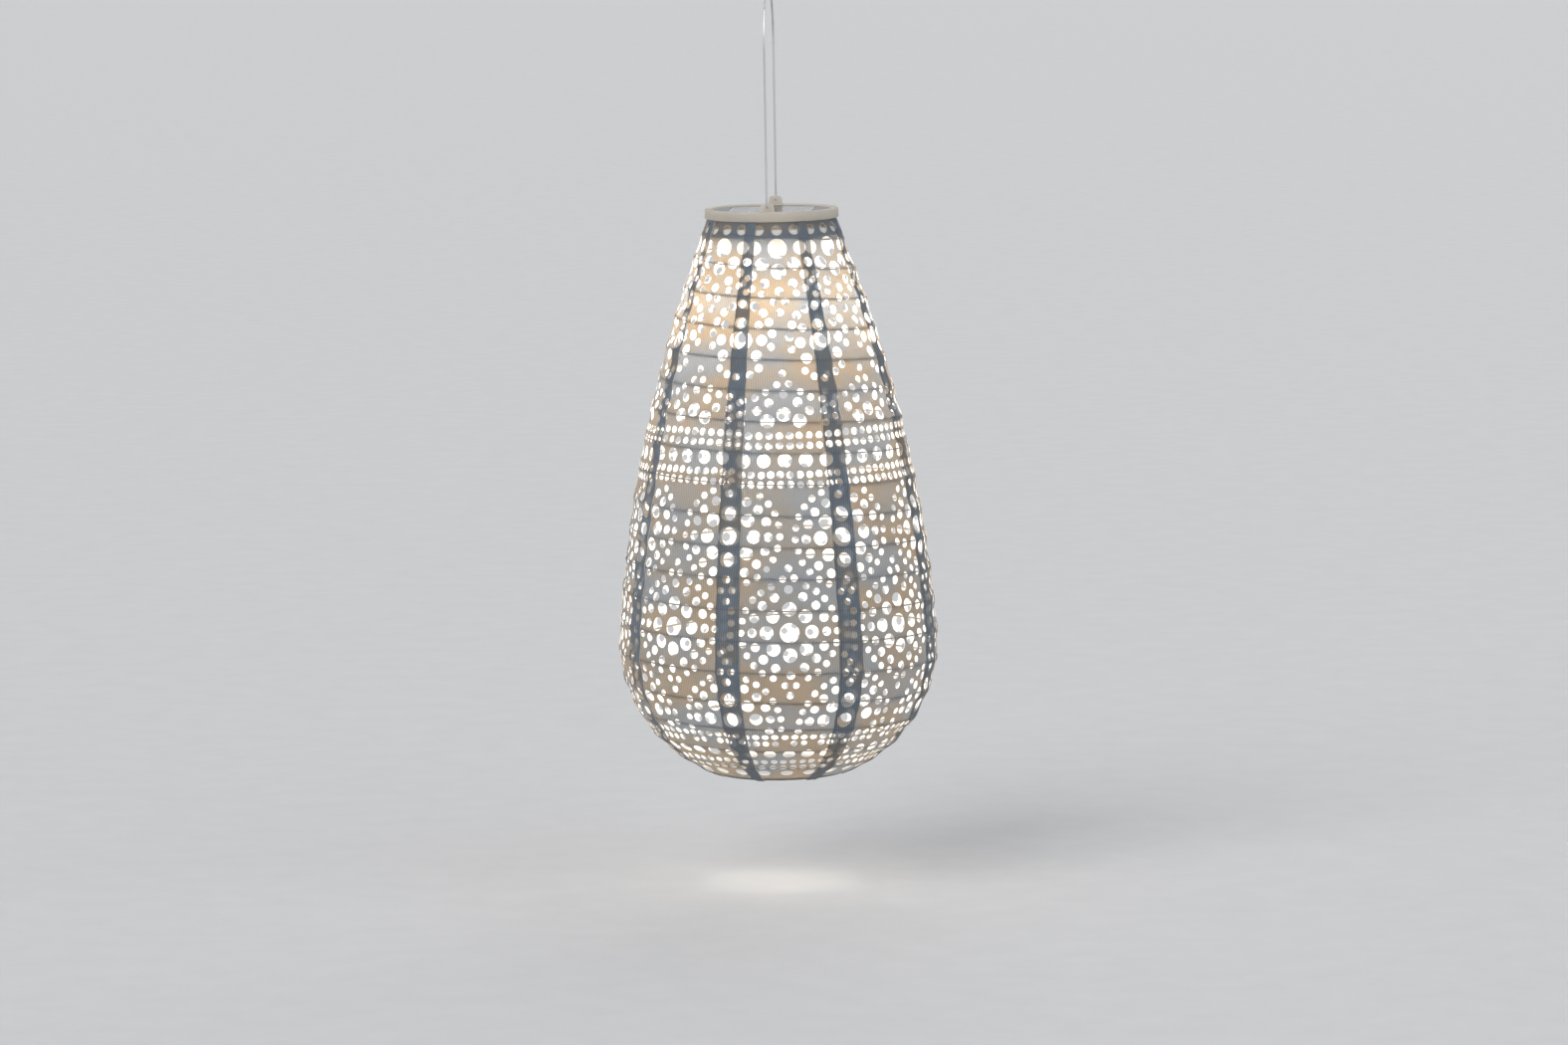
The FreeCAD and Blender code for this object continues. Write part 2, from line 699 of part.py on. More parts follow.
def make_rib_coil():
    """The spring wire that winds down inside the cloth and holds the shade round."""
    wire = number_of("rib_wire / 2")
    inset = number_of("cloth + rib_gap") + wire
    wall = ShadeWall()
    clear = number_of(HEM_RADIUS) + wire + number_of("rib_clear")
    start = number_of("hoop_drop") + clear
    end = wall.length - number_of(HEM_RADIUS) - clear
    turns = number_of("rib_turns")
    first = math.radians(number_of("rib_start"))

    def point_at(turn):
        along = start + (end - start) * turn / turns
        radius, height, _ = wall.at(along, inset)
        around = first + 2 * math.pi * turn
        return Vector(radius * math.cos(around), radius * math.sin(around), height)

    placed_shape("rib_coil", wound_tube(point_at, turns, wire, "rib_coil"))


def make_cover():
    """The module's lid: a disc with two flats that pass the tabs, and a square recess for the panel."""
    body = new_body("module_cover")
    disc = new_sketch(body, "XZ_Plane")
    outline(disc, [
        ("0", "-seat_depth"),
        (COVER_RADIUS, "-seat_depth"),
        (COVER_RADIUS, "-2 * cover_sink", "cover_sink", 1),
        (f"{COVER_RADIUS} - cover_sink", "-cover_sink"),
        ("0", "-cover_sink"),
    ])
    revolve(body, disc)
    spigot = new_sketch(body, "XY_Plane", "-seat_depth")
    circle(spigot, "0", "0", f"{CUP_IN} - spigot_gap")
    circle(spigot, "0", "0", f"{CUP_IN} - spigot_gap - spigot_wall")
    pad(body, spigot, "spigot_depth", down=True)
    posts = new_sketch(body, "XY_Plane", "-seat_depth")
    pilots = new_sketch(body, "XY_Plane", POST_END)
    for x, y in boss_places():
        circle(posts, x, y, "post_radius")
        circle(pilots, x, y, "screw_radius + screw_pilot")
    pad(body, posts, "post_length", down=True)
    pocket(body, pilots, "post_length", up=True)
    recess = new_sketch(body, "XY_Plane", "-cover_sink")
    side = f"{RECESS_SIDE} / 2"
    outline(recess, rectangle(f"-{side}", f"-{side}", side, side, "panel_corner"))
    pocket(body, recess, RECESS)
    flats = new_sketch(body, "XY_Plane", "0")
    outline(flats, rectangle("-rim_radius", f"{BAIL_TIP} - flat_gap", "rim_radius", "rim_radius"))
    outline(flats, rectangle("-rim_radius", "-rim_radius", "rim_radius", f"flat_gap - {BAIL_TIP}"))
    pocket(body, flats, "seat_depth")
    holes = new_sketch(body, "XY_Plane", "-seat_depth")
    for x in ("lead_spread", "-lead_spread"):
        circle(holes, x, "-lead_back", "lead_wire / 2 + lead_clearance")
    pocket(body, holes)


def boss_places():
    """The three screw places round the cup: one behind the battery, two beside the board."""
    side = f"{BOSS_CIRCLE} * cos(boss_angle)"
    back = f"-{BOSS_CIRCLE} * sin(boss_angle)"
    return [("0", BOSS_CIRCLE), (side, back), (f"-{side}", back)]


def make_panel():
    side = f"{PANEL_SIDE} / 2"
    top = "-cover_sink"
    for label, foot, thickness in (
        ("solar_backing", f"{top} - {RECESS}", "backing"),
        ("panel_glaze", f"{top} - glaze", "glaze"),
    ):
        body = new_body(label)
        plate = new_sketch(body, "XY_Plane", foot)
        outline(plate, rectangle(f"-{side}", f"-{side}", side, side, "panel_corner"))
        pad(body, plate, thickness)
    width = f"(({PANEL_SIDE} - 2 * cell_margin + cell_gap) / cell_count - cell_gap)"
    strips = []
    for i in range(round(number_of("cell_count"))):
        strips.append(primitive(
            "Box", x=f"cell_margin - {side} + {i} * ({width} + cell_gap)", y=f"cell_margin - {side}",
            z=f"{top} - glaze - cell", Length=width, Width=f"{PANEL_SIDE} - 2 * cell_margin", Height="cell",
        ))
    piece(joined("Compound", *strips), "solar_cells")


def make_cup():
    """The module's lower housing: bosses, board studs and battery blocks inside, openings in its floor."""
    body = new_body("module_base")
    wall = new_sketch(body, "XZ_Plane")
    outline(wall, [
        ("0", "-cup_end"),
        (f"{CUP_RADIUS} - cup_round", "-cup_end", "cup_round", 1),
        (CUP_RADIUS, "cup_round - cup_end"),
        (CUP_RADIUS, CUP_TOP),
        (CUP_IN, CUP_TOP),
        (CUP_IN, FLOOR),
        ("0", FLOOR),
    ])
    revolve(body, wall)
    bosses = new_sketch(body, "XY_Plane", FLOOR)
    shanks = new_sketch(body, "XY_Plane", "-cup_end")
    heads = new_sketch(body, "XY_Plane", "-cup_end")
    for x, y in boss_places():
        circle(bosses, x, y, "boss_radius")
        circle(shanks, x, y, "screw_radius + screw_clearance")
        circle(heads, x, y, "screw_head + screw_clearance")
    pad(body, bosses, f"{POST_END} - {FLOOR}")
    studs = new_sketch(body, "XY_Plane", FLOOR)
    threads = new_sketch(body, "XY_Plane", BOARD_FOOT)
    for x in ("stud_spread", "-stud_spread"):
        circle(studs, x, "-stud_back", "stud_radius")
        circle(threads, x, "-stud_back", "board_screw_radius + screw_pilot")
    pad(body, studs, f"{BOARD_FOOT} - {FLOOR}")
    blocks = new_sketch(body, "XY_Plane", FLOOR)
    low, high = f"{BATTERY_Y} - contact_width / 2", f"{BATTERY_Y} + contact_width / 2"
    plus = f"{BATTERY_END} + contact_plate"
    minus = f"-{BATTERY_END} - spring_length - contact_plate"
    outline(blocks, rectangle(plus, low, f"{plus} + contact_block", high))
    outline(blocks, rectangle(f"{minus} - contact_block", low, minus, high))
    pad(body, blocks, "battery_lift + contact_height")
    pocket(body, shanks, f"cup_end + {POST_END}", up=True)
    pocket(body, heads, "screw_head_height", up=True)
    pocket(body, threads, "board_screw_length")
    opening = new_sketch(body, "XY_Plane", "-cup_end")
    outline(opening, rectangle(f"-{BAY_HALF}", BAY_NEAR, BAY_HALF, BAY_FAR))
    half = "(knob_length / 2 + switch_travel / 2 + knob_gap)"
    deep = "(knob_width / 2 + knob_gap)"
    outline(opening, rectangle(f"-{half}", f"-switch_back - {deep}", half, f"{deep} - switch_back"))
    circle(opening, "0", "0", f"{BEZEL_OUT} + led_fit")
    pocket(body, opening, "cup_floor", up=True)
    reach = f"(2 * {BAY_HALF} + 2 * door_pin_length)"
    pins = new_sketch(body, "YZ_Plane", f"-{reach} / 2")
    circle(pins, DOOR_AXIS_Y, DOOR_AXIS_Z, "door_pin + door_pin_clearance")
    pocket(body, pins, reach, up=True)


def make_seal():
    ring = primitive("Torus", Radius1=f"{CUP_RADIUS} - cup_wall / 2", Radius2="seal_wire / 2")
    piece(ring, "seal_ring")
    ring.setExpression("Placement.Base.z", bound(f"-seat_depth - seal_wire / 2 - {HANG}"))


def make_screws():
    """Three housing screws from below, and two that hold the board on its studs."""
    housing = []
    for x, y in boss_places():
        length = f"cup_end + {POST_END} + screw_reach"
        foot = {"x": x, "y": y, "z": "-cup_end"}
        head = primitive("Cylinder", **foot, Radius="screw_head", Height="screw_head_height")
        shank = primitive("Cylinder", **foot, Radius="screw_radius", Height=length)
        housing.append(joined("MultiFuse", head, shank))
    piece(joined("Compound", *housing), "housing_screws")
    board = []
    for x in ("stud_spread", "-stud_spread"):
        head = primitive(
            "Cylinder", x=x, y="-stud_back", z=BOARD_TOP,
            Radius="board_screw_head", Height="board_screw_radius",
        )
        shank = primitive(
            "Cylinder", x=x, y="-stud_back", z=f"{BOARD_TOP} - board_screw_length",
            Radius="board_screw_radius", Height="board_screw_length + board_screw_radius",
        )
        board.append(joined("MultiFuse", head, shank))
    piece(joined("Compound", *board), "board_screws")


def make_board():
    body = new_body("circuit_board")
    rim = f"({CUP_IN} - board_gap)"
    back = f"-sqrt({rim} ^ 2 - board_width ^ 2 / 4)"
    plate = new_sketch(body, "XY_Plane", BOARD_FOOT)
    outline(plate, [
        ("-board_width / 2", "board_edge"),
        ("-board_width / 2", back, rim, 1),
        ("board_width / 2", back),
        ("board_width / 2", "board_edge"),
    ])
    pad(body, plate, "board_thickness")
    holes = new_sketch(body, "XY_Plane", BOARD_FOOT)
    for side in ("", "-"):
        circle(holes, f"{side}stud_spread", "-stud_back", "board_screw_radius + screw_clearance")
        circle(holes, f"{side}led_pitch / 2", "0", "led_pin")
    pocket(body, holes)
    chip = primitive(
        "Box", x="-parts_spread - chip_length / 2", y="-parts_back - chip_width / 2", Length="chip_length",
        Width="chip_width", Height="chip_height",
    )
    choke = primitive(
        "Cylinder", x="parts_spread", y="-parts_back", Radius="choke_radius", Height="choke_height"
    )
    for obj, label in ((chip, "driver_chip"), (choke, "choke_coil")):
        piece(obj, label)
        obj.setExpression("Placement.Base.z", bound(f"{BOARD_TOP} - {HANG}"))


def make_lamp():
    """A round lamp pointing down through the floor, in a press-in bezel."""
    bezel = new_body("led_bezel")
    bore = "led_radius + led_fit"
    sleeve = f"{BEZEL_OUT} + bezel_lip"
    seat = "bezel_sleeve - cup_end"
    profile = new_sketch(bezel, "XZ_Plane")
    outline(profile, [
        (bore, seat),
        (bore, "-cup_end - bezel_drop"),
        (f"{sleeve} - bezel_drop / 2", "-cup_end - bezel_drop", "bezel_drop / 2", 1),
        (sleeve, "-cup_end - bezel_drop / 2"),
        (sleeve, "-cup_end"),
        (BEZEL_OUT, "-cup_end"),
        (BEZEL_OUT, seat),
    ])
    revolve(bezel, profile)
    lamp = new_body("led_lamp")
    tip = f"{seat} - led_length"
    profile = new_sketch(lamp, "XZ_Plane")
    outline(profile, [
        ("0", f"{seat} + 2 * led_flange"),
        ("0", tip, "led_radius", 1),
        ("led_radius", f"{tip} + led_radius"),
        ("led_radius", seat),
        ("led_radius + led_flange", seat),
        ("led_radius + led_flange", f"{seat} + 2 * led_flange"),
    ])
    revolve(lamp, profile)
    pins = new_sketch(lamp, "XY_Plane", seat)
    for side in ("", "-"):
        x = f"{side}led_pitch / 2"
        outline(pins, rectangle(f"{x} - led_pin / 2", "-led_pin / 2", f"{x} + led_pin / 2", "led_pin / 2"))
    pad(lamp, pins, f"{BOARD_TOP} + led_pin - ({seat})")


def make_battery():
    body = new_body("battery_cell")
    can = new_sketch(body, "YZ_Plane", f"-{BATTERY_END}")
    circle(can, BATTERY_Y, BATTERY_Z, "battery_diameter / 2")
    pad(body, can, "battery_length - battery_nub")
    nub = new_sketch(body, "YZ_Plane", f"{BATTERY_END} - battery_nub")
    circle(nub, BATTERY_Y, BATTERY_Z, "nub_radius")
    pad(body, nub, "battery_nub")
    low = f"{BATTERY_Z} - contact_height / 2"
    for label, x in (
        ("positive_plate", BATTERY_END),
        ("negative_plate", f"-{BATTERY_END} - spring_length - contact_plate"),
    ):
        plate = primitive("Box", Length="contact_plate", Width="contact_width", Height="contact_height")
        piece(plate, label)
        set_sizes(
            plate, Placement__Base__x=x, Placement__Base__y=f"{BATTERY_Y} - contact_width / 2",
            Placement__Base__z=f"{low} - {HANG}",
        )
    wire = number_of("spring_wire / 2")
    start = number_of(f"-{BATTERY_END} - spring_length") + wire
    length = number_of("spring_length") - 2 * wire
    turns, radius = number_of("spring_turns"), number_of("spring_radius")
    y, z = number_of(BATTERY_Y), number_of(BATTERY_Z)

    def point_at(turn):
        around = 2 * math.pi * turn
        side, rise = radius * math.cos(around), radius * math.sin(around)
        return Vector(start + length * turn / turns, y + side, z + rise)

    placed_shape("negative_spring", wound_tube(point_at, turns, wire, "negative_spring"))


def make_door():
    """The flush battery door, with its barrel along the far edge and a finger notch at the near one."""
    body = new_body("battery_door")
    half = f"({BAY_HALF} - door_gap)"
    near = f"{BAY_NEAR} + door_gap"
    section = new_sketch(body, "YZ_Plane", f"-{half}")
    outline(section, [
        (near, "-cup_end"),
        (DOOR_AXIS_Y, "-cup_end", "cup_floor / 2", 1),
        (f"{DOOR_AXIS_Y} + cup_floor / 2", DOOR_AXIS_Z, "cup_floor / 2", 1),
        (DOOR_AXIS_Y, FLOOR),
        (near, FLOOR),
    ])
    pad(body, section, f"2 * {half}")
    reach = f"({half} + door_gap + door_pin_length - door_gap / 2)"
    pin = circle(new_sketch(body, "YZ_Plane", f"-{reach}"), DOOR_AXIS_Y, DOOR_AXIS_Z, "door_pin")
    pad(body, pin, f"2 * {reach}")
    notch = circle(new_sketch(body, "XY_Plane", "-cup_end"), "0", near, "finger_notch")
    pocket(body, notch, "finger_depth", up=True)


def make_switch():
    body = new_body("switch_body")
    half, deep = "switch_length / 2", "switch_width / 2"
    case = new_sketch(body, "XY_Plane", FLOOR)
    outline(case, rectangle(f"-{half}", f"-switch_back - {deep}", half, f"{deep} - switch_back"))
    pad(body, case, "switch_height")
    slot_half = "(stem_length / 2 + switch_travel / 2 + knob_gap)"
    slot_deep = "(stem_width / 2 + knob_gap / 2)"
    slot = new_sketch(body, "XY_Plane", FLOOR)
    outline(slot, rectangle(
        f"-{slot_half}", f"-switch_back - {slot_deep}", slot_half, f"{slot_deep} - switch_back"
    ))
    pocket(body, slot, "stem_height + knob_gap", up=True)
    knob = new_body("switch_knob")
    centre = "-switch_travel / 2"
    foot = "-cup_end - knob_drop"
    thumb = new_sketch(knob, "XY_Plane", foot)
    outline(thumb, rectangle(
        f"{centre} - knob_length / 2", "-switch_back - knob_width / 2",
        f"{centre} + knob_length / 2", "knob_width / 2 - switch_back",
    ))
    pad(knob, thumb, f"{FLOOR} - knob_gap - ({foot})")
    stem = new_sketch(knob, "XY_Plane", foot)
    outline(stem, rectangle(
        f"{centre} - stem_length / 2", "-switch_back - stem_width / 2",
        f"{centre} + stem_length / 2", "stem_width / 2 - switch_back",
    ))
    pad(knob, stem, f"{FLOOR} + stem_height - ({foot})")


def bent_wire(points, radius, bend):
    """A round wire along straight runs with a tangent arc of one radius at each corner."""
    edges = []
    start = points[0]
    for before, corner, after in zip(points, points[1:], points[2:]):
        back, on = (before - corner).normalize(), (after - corner).normalize()
        half = back.getAngle(on) / 2
        reach = bend / math.tan(half)
        middle = corner + (back + on).normalize() * (bend / math.sin(half) - bend)
        edges.append(Part.LineSegment(start, corner + back * reach).toShape())
        edges.append(Part.Arc(corner + back * reach, middle, corner + on * reach).toShape())
        start = corner + on * reach
    edges.append(Part.LineSegment(start, points[-1]).toShape())
    section = Part.Wire(Part.Circle(points[0], points[1] - points[0], radius).toShape())
    return Part.Wire(edges).makePipeShell([section], True, False)


def make_leads():
    """The panel's two leads go straight down to the board, and the battery's two over the cell to it."""
    length = f"-cover_sink - {RECESS} - {BOARD_TOP}"
    straight = [
        primitive("Cylinder", x=x, y="-lead_back", z=BOARD_TOP, Radius="lead_wire / 2", Height=length)
        for x in ("lead_spread", "-lead_spread")
    ]
    piece(joined("Compound", *straight), "panel_leads")
    radius = number_of("lead_wire / 2")
    board = number_of(BOARD_TOP)
    over = board + number_of("lead_rise")
    solder_x = number_of("board_width / 2 - lead_wire")
    solder_y = number_of("board_edge - lead_wire")
    wires = []
    plates = (f"{BATTERY_END} + contact_plate / 2", f"-{BATTERY_END} - spring_length - contact_plate / 2")
    for plate in map(number_of, plates):
        side = math.copysign(solder_x, plate)
        foot = Vector(plate, number_of(BATTERY_Y), number_of(f"{BATTERY_Z} + contact_height / 2"))
        points = [
            foot, Vector(foot.x, foot.y, over), Vector(side, solder_y, over), Vector(side, solder_y, board),
        ]
        wires.append(bent_wire(points, radius, number_of("lead_bend")))
    placed_shape("battery_leads", Part.makeCompound(wires))


make_bail()
make_collar()
make_hoop("top", TOP_HOOP_R, TOP_HOOP_Z)
make_hoop("bottom", LOW_HOOP_R, LOW_HOOP_Z)
gore = make_gore()
for index in range(round(number_of("gore_count"))):
    place_gore(gore, index)
make_rib_coil()
make_cover()
make_panel()
make_cup()
make_seal()
make_screws()
make_board()
make_lamp()
make_battery()
make_door()
make_switch()
make_leads()
doc.recompute()

failed = [obj.Label for obj in doc.Objects if {"Invalid", "Error"} & set(obj.State)]
failed += [obj.Label for obj in pieces if obj.Shape.isNull() or not obj.Shape.isValid()]
if failed:
    raise RuntimeError(f"not built: {failed}")
os.makedirs("parts", exist_ok=True)
for obj in pieces:
    obj.Shape.exportStep(f"parts/{obj.Label}.step")
print(f"{len(pieces)} pieces written")
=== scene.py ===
"""Dresses the hanging solar lantern: punched cloth gores, hems, spring coil, materials, studio and camera."""
import math

import bpy
import numpy as np
from mathutils import Matrix, Vector
from mathutils.geometry import delaunay_2d_cdt


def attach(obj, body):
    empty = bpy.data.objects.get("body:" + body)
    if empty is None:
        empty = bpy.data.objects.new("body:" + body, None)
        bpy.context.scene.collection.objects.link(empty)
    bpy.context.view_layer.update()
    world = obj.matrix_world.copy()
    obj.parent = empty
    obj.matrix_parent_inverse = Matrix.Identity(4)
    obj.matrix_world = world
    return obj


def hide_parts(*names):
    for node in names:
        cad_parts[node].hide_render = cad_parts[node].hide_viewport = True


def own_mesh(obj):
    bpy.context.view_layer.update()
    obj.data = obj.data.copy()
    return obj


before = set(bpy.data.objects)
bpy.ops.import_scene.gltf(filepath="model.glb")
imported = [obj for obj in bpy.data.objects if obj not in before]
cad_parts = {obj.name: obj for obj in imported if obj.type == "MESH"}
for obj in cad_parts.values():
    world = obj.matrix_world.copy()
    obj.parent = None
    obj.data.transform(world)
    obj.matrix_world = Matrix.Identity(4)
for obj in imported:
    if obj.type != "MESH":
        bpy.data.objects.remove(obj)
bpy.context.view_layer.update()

MM = 0.001

# the shade's outline in millimetres, measured from the top of the rim as in the part's source
HANG = 123.8
SHADE_TOP = -5.5
TOP_RADIUS = 35.4
BOWL_CENTRE = 11.5
BOWL_RADIUS = 77.0
BELLY = -239.3
MOUTH_RADIUS = 36.0
FLANK_ANGLE = math.radians(4.3)
CLOTH = 0.4
LAP_GAP = 0.08
HOOP_DROP = 5.0
HEM_RADIUS = 1.45
HEM_FIT = 0.12

tangent_r = BOWL_CENTRE + BOWL_RADIUS * math.cos(FLANK_ANGLE)
tangent_drop = SHADE_TOP - BELLY - BOWL_RADIUS * math.sin(FLANK_ANGLE)
chord_angle = math.atan2(tangent_r - TOP_RADIUS, tangent_drop)
chord = math.hypot(tangent_r - TOP_RADIUS, tangent_drop)
FLANK_RADIUS = chord / (2 * math.sin(chord_angle - FLANK_ANGLE))
TOP_ANGLE = 2 * chord_angle - FLANK_ANGLE
FLANK_LENGTH = FLANK_RADIUS * (TOP_ANGLE - FLANK_ANGLE)
MOUTH_ANGLE = math.acos((MOUTH_RADIUS - BOWL_CENTRE) / BOWL_RADIUS)
SHADE_LENGTH = FLANK_LENGTH + BOWL_RADIUS * (FLANK_ANGLE + MOUTH_ANGLE)
FLANK_R = BOWL_CENTRE + (BOWL_RADIUS - FLANK_RADIUS) * math.cos(FLANK_ANGLE)
FLANK_Z = BELLY + (BOWL_RADIUS - FLANK_RADIUS) * math.sin(FLANK_ANGLE)

# gores and the coil's turns
GORES = 8
GORE_STEP = 2 * math.pi / GORES
SEAM_ANGLE = math.radians(-10)
LAP_ANGLE = math.radians(9)
JOGGLE_ANGLE = math.radians(1.2)
HALF_GORE = (GORE_STEP + LAP_ANGLE) / 2
RIB_WIRE = 0.45
RIB_INSET = 1.0
RIB_START = 8.3
RIB_PITCH = 17.04
RIB_TURNS = 19
RIB_FIRST = math.radians(-91)
# whole turns added in the map of turns, which keep its counts above zero
MAP_START = 4

# the cloth's sag between two turns, and how it fades at the two hems
SAG = 0.95
SAG_SHAPE = 1.35
SAG_FROM_TOP = 6.0
SAG_FROM_MOUTH = 4.0
SAG_FADE = 14.0

SHARP_ANGLE = math.radians(40)


def shade(along, out=0.0):
    """Radius, height and slope of the shade at a length down from its top, set off outwards."""
    along = np.asarray(along, float)
    on_flank = along < FLANK_LENGTH
    slope = np.where(
        on_flank, TOP_ANGLE - along / FLANK_RADIUS, FLANK_ANGLE - (along - FLANK_LENGTH) / BOWL_RADIUS
    )
    radius = np.where(
        on_flank, FLANK_R + FLANK_RADIUS * np.cos(slope), BOWL_CENTRE + BOWL_RADIUS * np.cos(slope)
    )
    height = np.where(
        on_flank, FLANK_Z + FLANK_RADIUS * np.sin(slope), BELLY + BOWL_RADIUS * np.sin(slope)
    )
    return radius + out * np.cos(slope), height + out * np.sin(slope), slope


def turned(radius, height, around):
    """Points in metres in the model's frame from radius and height in millimetres and an angle."""
    return np.stack([radius * np.cos(around), radius * np.sin(around), height - HANG], axis=-1) * MM


def rise(x):
    """A smooth step from 0 to 1."""
    x = np.clip(x, 0, 1)
    return x * x * (3 - 2 * x)


def coil_turns(along, around):
    """How many turns of the coil lie above a place on the shade."""
    return (along - RIB_START) / RIB_PITCH - (around - RIB_FIRST) / (2 * math.pi)


def sag(along, around):
    """How far the cloth draws in between two turns of the coil, in millimetres."""
    held = rise((along - SAG_FROM_TOP) / SAG_FADE)
    held = held * rise((SHADE_LENGTH - SAG_FROM_MOUTH - along) / SAG_FADE)
    return SAG * np.abs(np.sin(math.pi * coil_turns(along, around))) ** SAG_SHAPE * held


def new_piece(name, points, faces, body):
    """A smooth mesh that rides on a body."""
    mesh = bpy.data.meshes.new(name)
    mesh.from_pydata([tuple(p) for p in points], [], faces)
    mesh.validate()
    mesh.shade_smooth()
    mesh.set_sharp_from_angle(angle=SHARP_ANGLE)
    obj = bpy.data.objects.new(name, mesh)
    bpy.context.scene.collection.objects.link(obj)
    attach(obj, body)
    return obj


def add_map(obj, name, places):
    """A coordinate map with one place for each vertex."""
    corner = np.zeros(len(obj.data.loops), np.int32)
    obj.data.loops.foreach_get("vertex_index", corner)
    layer = obj.data.uv_layers.new(name=name)
    layer.data.foreach_set("uv", places[corner].astype(np.float32).ravel())


# materials


class Nodes:
    """A short way to write a material's nodes."""

    def __init__(self, name):
        self.material = bpy.data.materials.new(name)
        self.material.use_nodes = True
        self.tree = self.material.node_tree
        self.shader = self.tree.nodes["Principled BSDF"]
        self.output = self.tree.nodes["Material Output"]

    def add(self, kind, operation=None, **inputs):
        node = self.tree.nodes.new(f"ShaderNode{kind}")
        if operation:
            node.operation = operation
        for name, value in inputs.items():
            key = int(name[1:]) if name[0] == "i" and name[1:].isdigit() else name.replace("_", " ")
            self.put(node.inputs[key], value)
        return node

    def put(self, socket, value):
        if isinstance(value, bpy.types.NodeSocket):
            self.tree.links.new(value, socket)
        elif isinstance(value, bpy.types.Node):
            self.tree.links.new(value.outputs[0], socket)
        else:
            socket.default_value = value

    def math(self, operation, *values):
        return self.add("Math", operation, **{f"i{i}": v for i, v in enumerate(values)}).outputs[0]

    def ramp(self, factor, stops):
        node = self.add("ValToRGB", Fac=factor)
        elements = node.color_ramp.elements
        while len(elements) < len(stops):
            elements.new(0.5)
        for element, (place, colour) in zip(elements, stops):
            element.position = place
            element.color = (*colour, 1.0)
        return node.outputs["Color"]

    def blend(self, factor, first, second):
        """A colour between two others."""
        node = self.add("Mix")
        node.data_type = "RGBA"
        self.put(node.inputs[0], factor)
        self.put(node.inputs[6], first)
        self.put(node.inputs[7], second)
        return node.outputs[2]

    def grain(self, scale, detail=4.0, stretch=None):
        coordinates = self.add("TexCoord").outputs["Object"]
        if stretch:
            coordinates = self.add("Mapping", Vector=coordinates, Scale=stretch).outputs[0]
        return self.add("TexNoise", Vector=coordinates, Scale=scale, Detail=detail).outputs["Fac"]

    def set(self, **inputs):
        for name, value in inputs.items():
            self.put(self.shader.inputs[name.replace("_", " ")], value)
        return self

    def bump(self, height, strength, distance):
        node = self.add("Bump", Height=height, Strength=strength, Distance=distance)
        self.put(self.shader.inputs["Normal"], node.outputs["Normal"])
        return self


def shaded(colour, spread):
    """A darker and a lighter colour about the given one."""
    return [tuple(min(1.0, c * f) for c in colour) for f in (1 - spread, 1 + spread)]


CLOUD_GRAIN = 38.0


def plastic(name, colour, roughness, grain=900.0, spread=0.06, depth=0.00004):
    """Moulded plastic: faint clouds in its colour and a fine grain in its gloss and surface."""
    m = Nodes(name)
    low, high = shaded(colour, spread)
    broad = m.grain(CLOUD_GRAIN, 5.0)
    fine = m.grain(grain, 3.0)
    m.set(Base_Color=m.ramp(broad, [(0.3, low), (0.7, high)]))
    m.set(Roughness=m.math("MULTIPLY_ADD", fine, 0.16, roughness - 0.08))
    m.bump(fine, 0.35, depth)
    return m


def milky(name, colour, roughness, share):
    """A moulded plastic that lets some of the lamp's light through."""
    m = plastic(name, colour, roughness)
    glow = m.add("BsdfTranslucent", Color=(0.9, 0.86, 0.8, 1.0))
    mixed = m.add("MixShader", Fac=share)
    m.put(mixed.inputs[1], m.shader.outputs[0])
    m.put(mixed.inputs[2], glow.outputs[0])
    m.put(m.output.inputs["Surface"], mixed.outputs[0])
    return m


def metal(name, colour, roughness, stretch=None, scale=700.0):
    """Drawn or plated metal, its grain drawn out where a stretch is given."""
    m = Nodes(name)
    low, high = shaded(colour, 0.1)
    brushed = m.grain(scale, 5.0, stretch)
    m.set(Base_Color=m.ramp(brushed, [(0.3, low), (0.7, high)]), Metallic=1.0)
    m.set(Roughness=m.math("MULTIPLY_ADD", brushed, 0.22, roughness - 0.1))
    m.bump(brushed, 0.25, 0.00002)
    return m


# the cloth's weave in millimetres, the width of its painted crease shade as a share of a turn, and how many
# millimetres a map unit is
CORD_PITCH = 1.27
CORD_WANDER = 1.6
WEFT_PITCH = 0.62
CREASE_SHADE_WIDTH = 0.05
FLAT_SCALE = 100.0
# scales of the cloth's lint, clouds and warm patches, in the map's units
LINT = 90.0
CLOUDS = 5.0
PATCHES = 2.6
PATCH_STRETCH = (1.0, 1.7, 1.0)
WEAVE_DEPTH = 0.00014
# how much of its light the glued flap holds back
GLUE_DIM = 0.5


